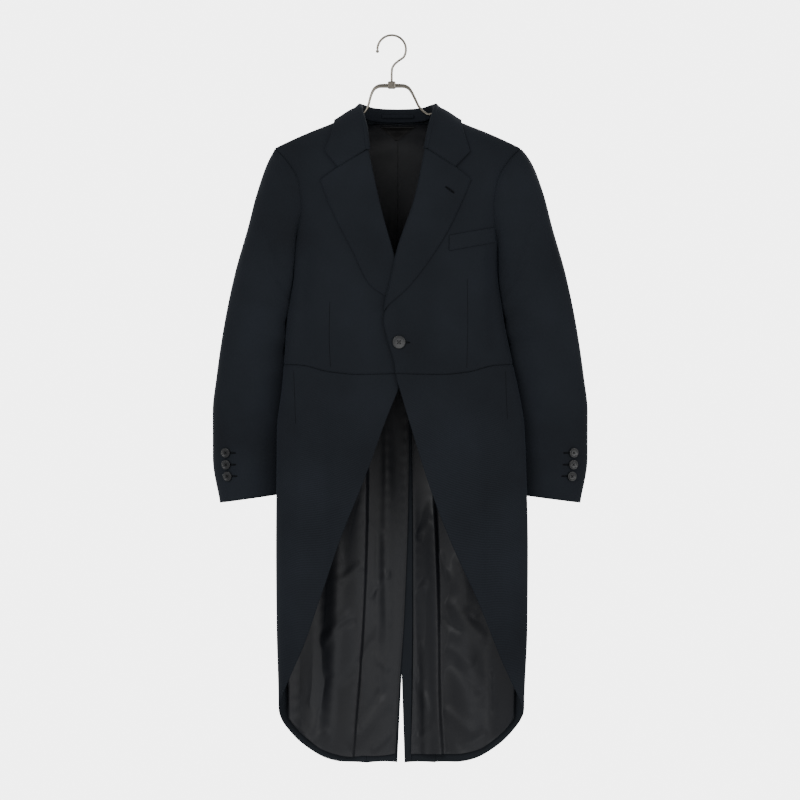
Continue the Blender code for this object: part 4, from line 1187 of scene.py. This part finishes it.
# Cross wrinkles where the satin is caught, in the front view
LINING_CREASES = table(
    "x0 z0 x1 z1 wide high",
    (-128, -1010, -78, -950, 8, 2.6), (-96, -1075, -30, -985, 9, -2.0),
    (-50, -930, -14, -885, 6, 1.8), (-84, -1174, -12, -1092, 11, 2.2),
    (-70, -1150, -16, -1070, 8, -1.6), (-150, -1110, -108, -1050, 9, -2.0),
    (-100, -905, -60, -870, 6, 1.6), (-108, -985, -70, -965, 5, -1.6),
    (-46, -1185, -8, -1150, 6, 1.8), (-60, -800, -20, -830, 7, 1.4),
    (-44, -1020, -12, -1050, 6, 1.6), (-160, -1170, -110, -1150, 9, 2.0),
    (84, -930, 150, -1005, 11, 2.6), (90, -1030, 140, -1090, 9, -2.4),
    (76, -1110, 132, -1160, 9, 2.4), (22, -1040, 52, -1120, 7, 2.0),
    (70, -850, 96, -905, 7, 1.8), (66, -960, 110, -985, 6, -1.8),
    (82, -1010, 128, -1040, 9, 1.6), (24, -930, 52, -900, 6, 1.4),
    (24, -1170, 66, -1140, 6, 1.6), (100, -1180, 150, -1150, 8, -1.8),
    (124, -960, 140, -940, 8, 1.6), (30, -830, 56, -800, 6, 1.2),
)
BACK_LINING_GAP = 2.6    # the body lining hangs a little free of the back
HEM_FACING = 15          # cloth that shows below the lining
TAIL_LINING_GAP = 0.7
FACING_GAP = 0.5
BODY_LINING_END = -538.0
TAIL_LINING_TOP = -548.0
LINING_SIDE = 104    # angle at which the tail lining ends, hidden by the skirt's side
# Edge of the tail lining beside the vent, from the middle: the right one laps over the seam
LINING_EDGE = {
    "left": table("z x", (-548, 17), (-1055, 17), (-1199, 15)),
    "right": table("z x", (-548, -15), (-700, -13), (-965, -4), (-1062, 2), (-1199, 9)),
}
FACING_WIDE = {"left": 17.0, "right": 7.0}
PUCKER = 21.0            # mm from one sewing pucker to the next
PUCKER_HIGH = 0.25


def lining_fold(side, grid):
    """How far the tail lining stands off the back, towards the wearer."""
    spot = body_surface(grid[..., 0], grid[..., 1])
    x, z = spot[..., 0], spot[..., 2]
    edge = sided(side) * smooth(LINING_EDGE[side]["z"], LINING_EDGE[side]["x"], z)
    wave = 2 * math.pi * z / PUCKER
    free = 1 - np.exp(-((x - edge) / 20) ** 2)
    height = 2.0 + crease_height(LINING_CREASES, x, z)
    height += 3.0 * free * np.clip((-600 - z) / 150, 0, 1) * np.clip((z + 1199) / 60, 0, 1)
    for x0, z0, x1, z1, left, right, high in zip(*LINING_FOLDS[side].values()):
        fold_x = x0 + (x1 - x0) * (z - z0) / (z1 - z0) + 2.5 * np.sin(z / 83 + x0)
        reach = np.where(x > fold_x, right, left)
        fade = np.clip((z0 - z) / 90, 0, 1) * np.clip(1 + (z - z1) / 60, 0, 1)
        high = high * (1 + 0.25 * np.sin(z / 47 + x1))
        height += fade * high * np.exp(-((x - fold_x) / reach) ** 2)
        near = PUCKER_HIGH * fade * np.sin(wave + x0)
        height += near * np.exp(-((x - fold_x) / 8) ** 2)
    near = PUCKER_HIGH * np.sin(wave + 2 * np.sin(z / 61))
    height += near * np.exp(-((x - edge) / 6) ** 2)
    return np.maximum(height, 1.3)


print("Lining folds:", {side: len(rows["high"]) for side, rows in LINING_FOLDS.items()})


# %% Tail linings
def make_tail_lining(side):
    """Satin of a tail, from the waist to the hem facing and from the side to the vent."""
    rows = 150
    s = sided(side)
    edge = LINING_EDGE[side]
    start_angle = 180 - np.degrees(np.arcsin((edge["x"][0] + 1) / HALF_SKIRT))
    bottom_angle, bottom_z = tail_bottom(side)
    angles = np.linspace(LINING_SIDE, start_angle, 190)
    low_z = softened(smooth(bottom_angle, bottom_z, np.minimum(angles, 172))) + HEM_FACING
    top = at_height(angles * s, np.full(len(angles), TAIL_LINING_TOP))
    low = at_height(angles * s, low_z)
    start, end = spread([top[0], low[0]], rows), spread([top[-1], low[-1]], rows)
    edge_x = smooth(edge["z"], edge["x"], body_surface(end[:, 0], end[:, 1])[:, 2])
    shift = 180 - np.degrees(np.arcsin((edge_x + 1) / HALF_SKIRT)) - start_angle
    grid = fill(top, low, start, end)
    grid[..., 0] += s * shift[:, None] * np.linspace(0, 1, len(angles)) ** 3
    lift = -CLOTH - TAIL_LINING_GAP - lining_fold(side, grid)
    rests = ["back_" + side, "skirt_" + side]
    cloth_sheet("lining_skirt_" + side, hung(grid, lift), [satin], LINING, "lining", rests,
                flip=side == "right")


for side in SIDES:
    make_tail_lining(side)


# %% Body linings
def make_back_lining(side):
    """Satin of the upper back, seen in the neck opening, with a small pleat at the middle."""
    rows, cols = 80, 40
    s = sided(side)
    middle = at_height(np.full(2, 180.0), np.array([-140.8, BODY_LINING_END]))
    start = spread(middle, rows, ease=1.6) * (s, 1)
    side_z = np.array([-153.5, -240, -380, BODY_LINING_END])
    side_line = at_height(np.array([153.0, 133.0, 120.0, 112.0]), side_z)
    end = spread(side_line, rows, ease=1.6) * (s, 1)
    top, bottom = spread([start[0], end[0]], cols), spread([start[-1], end[-1]], cols)
    bottom[:, 1] = at_height(bottom[:, 0], np.full(cols, BODY_LINING_END))[:, 1]
    grid = fill(top, bottom, start, end)
    across = cloth_ways(body_surface(grid[..., 0], grid[..., 1]))[0] / MM
    pleat = 0.8 * np.exp(-(across / 9) ** 2) * (side == "left")
    points = hung(grid, -CLOTH - BACK_LINING_GAP + pleat, 0.25)
    cloth_sheet("lining_back_" + side, points, [satin], LINING, "lining", ["back_" + side],
                flip=side == "left")


for side in SIDES:
    make_back_lining(side)


# %% Vent facings
def make_vent_facing(side):
    """Band of wool along the vent's edge, inside the back."""
    rows = 140
    s = sided(side)
    z = np.linspace(TAIL_LINING_TOP, HEM + 2, rows)
    opened = VENT_ANGLE * np.clip((VENT_TOP - z) / (VENT_TOP - HEM), 0, 1)
    far = np.full(rows, 180 - np.degrees(np.arcsin(FACING_WIDE[side] / HALF_SKIRT)))
    grid = np.stack([at_height(a * s, z) for a in np.linspace(180 - opened, far, 8)], axis=1)
    points = hung(grid, -CLOTH - FACING_GAP)
    cloth_sheet("vent_facing_" + side, points, [facing_wool], LINING, rests=["back_" + side],
                flip=side == "left")


for side in SIDES:
    make_vent_facing(side)


# %% Neck patch and hanging loop
def make_label():
    """Bare three-cornered patch at the back neck."""
    top = back_at(*spread([(-31, -141.6), (30, -141.6)], 24).T)
    low = back_at(*spread([(-4, -165.6), (0, -165.6)], 24).T)
    for line in (top, low):
        line[:, 0] = np.where(line[:, 0] < 0, line[:, 0] + 360, line[:, 0])
    grid = np.stack([top * (1 - v) + low * v for v in np.linspace(0, 1, 16)])
    points = hung(grid, -CLOTH - BACK_LINING_GAP - LINING - LAYER_GAP)
    rests = ["lining_back_left", "lining_back_right"]
    cloth_sheet("neck_label", points, [patch_satin], LINING, "label", rests, flip=True)


def make_loop():
    """Hanging loop: a narrow strip that stands off the inside of the collar at its middle."""
    reach = 27
    across = np.linspace(-reach, reach, 33)
    bow = 2.4 * np.cos(across / reach * math.pi / 2) ** 0.5
    y = 46.8 - 0.0046 * across ** 2 - bow
    grid = np.stack([
        np.stack([across, y + 0.8 * k, np.full(33, -126.5 - 2.6 * k)], axis=1)
        for k in (0, 0.5, 1, 1.5, 2)
    ])
    cloth_sheet("hanging_loop", grid, [wool], LINING, rests=["collar"])


make_label()
make_loop()

# %% [markdown]
# ## Seams, darts and buttonholes
# A pressed seam shows as a thin dark line. Darts, the pleat at the side of the skirt and the
# buttonholes are threads laid on the cloth: a curve with a round bevel that is converted to a
# mesh.


# %% Threads
def round_lines(name, lines, radius, look, bevel, caps=False):
    """Round threads or wires along lines of points in mm, converted to one mesh."""
    curve = bpy.data.curves.new(name, "CURVE")
    curve.dimensions = "3D"
    curve.bevel_depth = radius * MM
    curve.bevel_resolution = bevel
    curve.use_fill_caps = caps
    for points, loop in lines:
        spline = curve.splines.new("POLY")
        spline.points.add(len(points) - 1)
        spline.use_cyclic_u = loop
        for point, spot in zip(spline.points, points):
            point.co = (*(np.array(spot, float) * MM), 1)
    made = bpy.data.objects.new(name, curve)
    bpy.context.scene.collection.objects.link(made)
    bpy.ops.object.select_all(action="DESELECT")
    made.select_set(True)
    bpy.context.view_layer.objects.active = made
    bpy.ops.object.convert(target="MESH")
    made.data.materials.append(look)
    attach(made, "root")
    return made


def threads(name, lines, radius):
    """Thin threads on the coat; its points are in mm from the coat's middle."""
    lines = [(np.array(points) + (COAT_X, 0, 0), loop) for points, loop in lines]
    made = round_lines(name, lines, radius, thread_look, 1)
    made.data.shade_smooth()
    print(f"{name}: {len(lines)} threads")


def on_front(plan, lift, side="left"):
    """Curve on a front, lapel or skirt, at places of the front view."""
    grid = front_at(plan[:, 0], plan[:, 1])
    return body(grid[:, 0], grid[:, 1], drape(grid) + panel_lift(side, grid) + lift)


print("Thread maker ready")

# %% Darts and side pleats
DARTS = {
    "left": [
        [(113.5, -402), (114.5, -470), (113, -547)], [(177, -552), (178, -590), (179.5, -631)],
    ],
    "right": [
        [(-111, -440), (-112, -500), (-110, -546)], [(-171, -552), (-169, -595), (-167, -639)],
    ],
}
THREAD_SINK = 0.1    # how deep a thread lies in the cloth
dart_lines = [
    (on_front(spread(line, 40), -THREAD_SINK, side), False)
    for side in SIDES for line in DARTS[side]
]
# The lining's centre seam, on its inner face
middle = at_height(np.full(60, 180.0), np.linspace(-168, -430, 60))
inside = -CLOTH - BACK_LINING_GAP - LINING + THREAD_SINK
dart_lines.append((body(middle[:, 0], middle[:, 1], inside), False))
threads("dart_seams", dart_lines, 0.35)


# %% Buttonholes
def oval(start, end, half):
    """Places round a narrow oval from start to end."""
    start, end = np.array(start, float), np.array(end, float)
    along = (end - start) / 2
    across = np.array([-along[1], along[0]]) / np.linalg.norm(along) * half
    turn = np.linspace(0, 2 * math.pi, 36, endpoint=False)[:, None]
    return (start + end) / 2 + along * np.cos(turn) + across * np.sin(turn)


def hole_on_cuff(side, t):
    """Oval of a buttonhole beside a cuff button, in degrees round and share down the sleeve."""
    plan = oval((CUFF_BUTTON_TURN, t), (CUFF_BUTTON_TURN + 17, t + 0.002), 0.0016)
    out = sleeve_creases(side, plan[:, 1], plan[:, 0]) + 0.3
    return sleeve_skin(side, plan[:, 1], plan[:, 0], out)


FRONT_BUTTON = (2.0, -505.0)
HOLE_HALF = 1.0      # half width of a worked buttonhole
CUFF_BUTTONS = (0.870, 0.901, 0.932)   # places down the sleeve
CUFF_BUTTON_TURN = 52
front_hole = oval((1, -505), (20, -506), HOLE_HALF)
lapel_hole = oval((77.5, -252), (91, -262), HOLE_HALF)
holes = [(on_front(front_hole, 0.3), True)]
holes.append((on_front(lapel_hole, LAYER_GAP + CLOTH + 2.6), True))
holes += [(hole_on_cuff(side, t), True) for side in SIDES for t in CUFF_BUTTONS]
threads("buttonholes", holes, 0.55)

# %% [markdown]
# ## Buttons
# A four-hole button is turned: a disc with a raised rim and a dished middle. It starts as a
# cylinder, its face is inset and sunk for the rim, four thin cutters make the holes, and a
# bevel softens the edges. Each copy is set on the cloth and sewn on with crossed threads.


# %% Button shape
HOLE_REACH = 0.26    # of the radius, from the button's middle to a hole
HOLE_WIDE = 0.1      # radius of a hole, of the button's


def button_mesh(radius, thick):
    """Mesh of one button in mm at the origin, its back at height 0."""
    bpy.ops.object.select_all(action="DESELECT")
    bpy.ops.mesh.primitive_cylinder_add(vertices=48, radius=radius * MM, depth=thick * MM,
                                        location=(0, 0, thick * MM / 2))
    button = bpy.context.object
    bpy.ops.object.transform_apply(location=True)
    for face in button.data.polygons:
        face.select = face.normal.z > 0.9
    bpy.ops.object.mode_set(mode="EDIT")
    bpy.ops.mesh.select_mode(type="FACE")
    bpy.ops.mesh.inset(thickness=radius * 0.20 * MM)
    bpy.ops.mesh.inset(thickness=radius * 0.12 * MM)
    bpy.ops.transform.translate(value=(0, 0, -thick * 0.34 * MM))
    bpy.ops.object.mode_set(mode="OBJECT")
    edges = button.modifiers.new("Edges", "BEVEL")
    edges.width = thick * 0.16 * MM
    edges.segments = 3
    edges.limit_method = "ANGLE"
    bpy.ops.object.modifier_apply(modifier="Edges")
    for k in range(4):
        turn = math.radians(45 + 90 * k)
        reach = radius * HOLE_REACH
        spot = (reach * math.cos(turn) * MM, reach * math.sin(turn) * MM, 0)
        bpy.ops.mesh.primitive_cylinder_add(vertices=16, radius=radius * HOLE_WIDE * MM,
                                            depth=0.05, location=spot)
        cutter = bpy.context.object
        cut = button.modifiers.new("Hole", "BOOLEAN")
        cut.object = cutter
        cut.solver = "EXACT"
        bpy.context.view_layer.objects.active = button
        bpy.ops.object.modifier_apply(modifier="Hole")
        bpy.data.objects.remove(cutter, do_unlink=True)
    bpy.context.view_layer.objects.active = button
    bpy.ops.object.select_all(action="DESELECT")
    button.select_set(True)
    bpy.ops.object.shade_smooth_by_angle(angle=math.radians(40))
    shape = button.data
    bpy.data.objects.remove(button, do_unlink=True)
    return shape


def place_button(shape, node, centre, normal):
    """Copy of a button's mesh, moved into its place on the cloth."""
    mesh = shape.copy()
    turn = Vector(normal).to_track_quat("Z", "Y").to_matrix().to_4x4()
    mesh.transform(turn)
    mesh.transform(turn.Translation((Vector(centre) + Vector((COAT_X, 0, 0))) * MM))
    mesh.materials.clear()
    mesh.materials.append(horn)
    button = bpy.data.objects.new(node + "_polished", mesh)
    bpy.context.scene.collection.objects.link(button)
    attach(button, "root")
    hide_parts(node)


def cross_stitch(centre, normal, radius, thick):
    """Two crossed threads between a button's holes, just above its dished face."""
    turn = Vector(normal).to_track_quat("Z", "Y").to_matrix()
    lines = []
    for angle in (math.radians(45), math.radians(135)):
        line = []
        for share in np.linspace(-1, 1, 7):
            reach = radius * HOLE_REACH * share
            high = thick * (0.72 + 0.14 * (1 - share ** 2) - 0.35 * abs(share) ** 8)
            spot = Vector((reach * math.cos(angle), reach * math.sin(angle), high))
            line.append(np.array(centre) + turn @ spot)
        lines.append((line, False))
    return lines


print("Button tools ready")

# %% Buttons in place
FRONT_SIZE = (10.6, 4.2)    # radius and thickness
CUFF_SIZE = (7.9, 3.6)
grid = front_at(np.array([FRONT_BUTTON[0]]), np.array([FRONT_BUTTON[1]]))
lift = drape(grid) + overlap_lift(grid[:, 0], grid[:, 1])
centre = body(grid[:, 0], grid[:, 1], lift + 0.3)[0]
normal = body(grid[:, 0], grid[:, 1], lift + 1.3)[0] - centre
place_button(button_mesh(*FRONT_SIZE), "front_button", centre, normal)
stitches = cross_stitch(centre, normal, *FRONT_SIZE)
small = button_mesh(*CUFF_SIZE)
for side in SIDES:
    for number, t in enumerate(CUFF_BUTTONS, start=1):
        out = sleeve_creases(side, t, CUFF_BUTTON_TURN)
        centre = sleeve_skin(side, t, CUFF_BUTTON_TURN, out + 0.3)
        normal = sleeve_skin(side, t, CUFF_BUTTON_TURN, out + 1.3) - centre
        place_button(small, f"cuff_button_{side}_{number}", centre, normal)
        stitches += cross_stitch(centre, normal, *CUFF_SIZE)
threads("button_threads", stitches, 0.3)
bpy.data.meshes.remove(small)

# %% [markdown]
# ## Hanger
# Two bent wires cross the clamp in layers, and the hook is a third wire that ends in a small
# ball. The wires and hook are curves with a round bevel on the CAD's own lines, only finer.
# The clamp and the ball are already right, so they stay and get the nickel finish.

# %% Hanger wires
WIRE = 1.9           # radius of the hanger's wires
WIRE_GAP = 2.0       # between the wires and the shoulders that rest on them
HOOK_RADIUS = 23.5   # of the hook's middle line
NECK_BAR = -81.5     # height of the wires' top bar, halfway between the two
WIRE_LAYER = 5.0     # half the distance between the wires
WIRE_STEP = 2.2      # half the difference in height of their top bars
# Each half of a hanger wire, from the middle of the top bar to where it enters the shoulder
NECK_WIRE = {
    "left": [
        (0, NECK_BAR), (19, -81.8), (28, -85.5), (33.5, -93),
        (39.5, -105), (45, -116), (52.5, -124), (61, -129),
    ],
    "right": [
        (0, NECK_BAR), (19, -81.8), (27, -85), (32, -92),
        (35.5, -102), (38, -112), (41, -120), (46, -126),
    ],
}


def wire_curve(node, points):
    """Round wire along points, in place of a CAD wire."""
    wire = round_lines(node, [(points, False)], WIRE, nickel, 6, caps=True)
    wire.name = node + "_plated"
    bpy.ops.object.shade_smooth_by_angle(angle=math.radians(50))
    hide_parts(node)


def shoulder_wire(name, y, step):
    """Bent wire of one hanger layer; a step drops its middle to the wire's place in the clamp."""
    arm_x = np.linspace(76, 178, 9)
    sides = []
    for s, neck in ((-1, NECK_WIRE["right"]), (1, NECK_WIRE["left"])):
        place = s * arm_x - COAT_X
        middle_deep = section("front" if y < 0 else "back", -183)
        deep = middle_deep * (1 - (place / SHOULDER_HALF) ** 2) ** (BOXINESS / 2)
        round_off = SHOULDER_ROUND * (1 - np.sqrt(1 - (y / deep) ** 2))
        rest = ridge(place) - round_off - CLOTH - WIRE - WIRE_GAP
        half = np.concatenate([np.array(neck, float), np.stack([arm_x, rest], axis=1)])
        drop = step * np.clip(1 - np.arange(len(half)) / len(neck), 0, 1)
        sides.append(np.stack([half[:, 0] * s, np.full(len(half), y), half[:, 1] + drop], axis=1))
    wire_curve(name, spread(np.concatenate([sides[0][:0:-1], sides[1]]), 140))


shoulder_wire("hanger_wire_front", -WIRE_LAYER, -WIRE_STEP)
shoulder_wire("hanger_wire_rear", WIRE_LAYER, WIRE_STEP)

# %% Hook, clamp and ball
arc = np.radians(np.linspace(-38, 180, 60))
stem = spread([(0, -74.2), (0, -62), (0.6, -54), (4, -47), (10.5, -41)], 20).tolist()
middle = WIRE - HOOK_RADIUS
bow = [(HOOK_RADIUS * math.cos(a), middle + HOOK_RADIUS * math.sin(a)) for a in arc[1:]]
wire_curve("hanger_hook", [(x, 0, z) for x, z in stem + bow])
for node in ("hanger_clamp", "hanger_ball"):
    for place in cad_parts[node].material_slots:
        place.material = nickel
print("Hanger finished")

# %% [markdown]
# ## Floor
# The photograph is cut out on white, so the camera sees only the bright world behind the coat. A
# pale round floor below its view gives the coat something to stand over in the other views, and
# throws a little light back up at it.

# %% Floor
FLOOR = -1.75
FLOOR_RADIUS = 2.6
floor_look = clouded("matt white studio floor", "#ECECEC", "#F2F2F2", {"Roughness": 0.9},
                     Scale=6.0, Detail=3.0)
bpy.ops.mesh.primitive_circle_add(vertices=96, radius=FLOOR_RADIUS, fill_type="NGON",
                                  location=(0, 0, FLOOR))
floor = bpy.context.object
floor.name = "floor"
floor.data.materials.append(floor_look)
print("Floor at", FLOOR, "m")
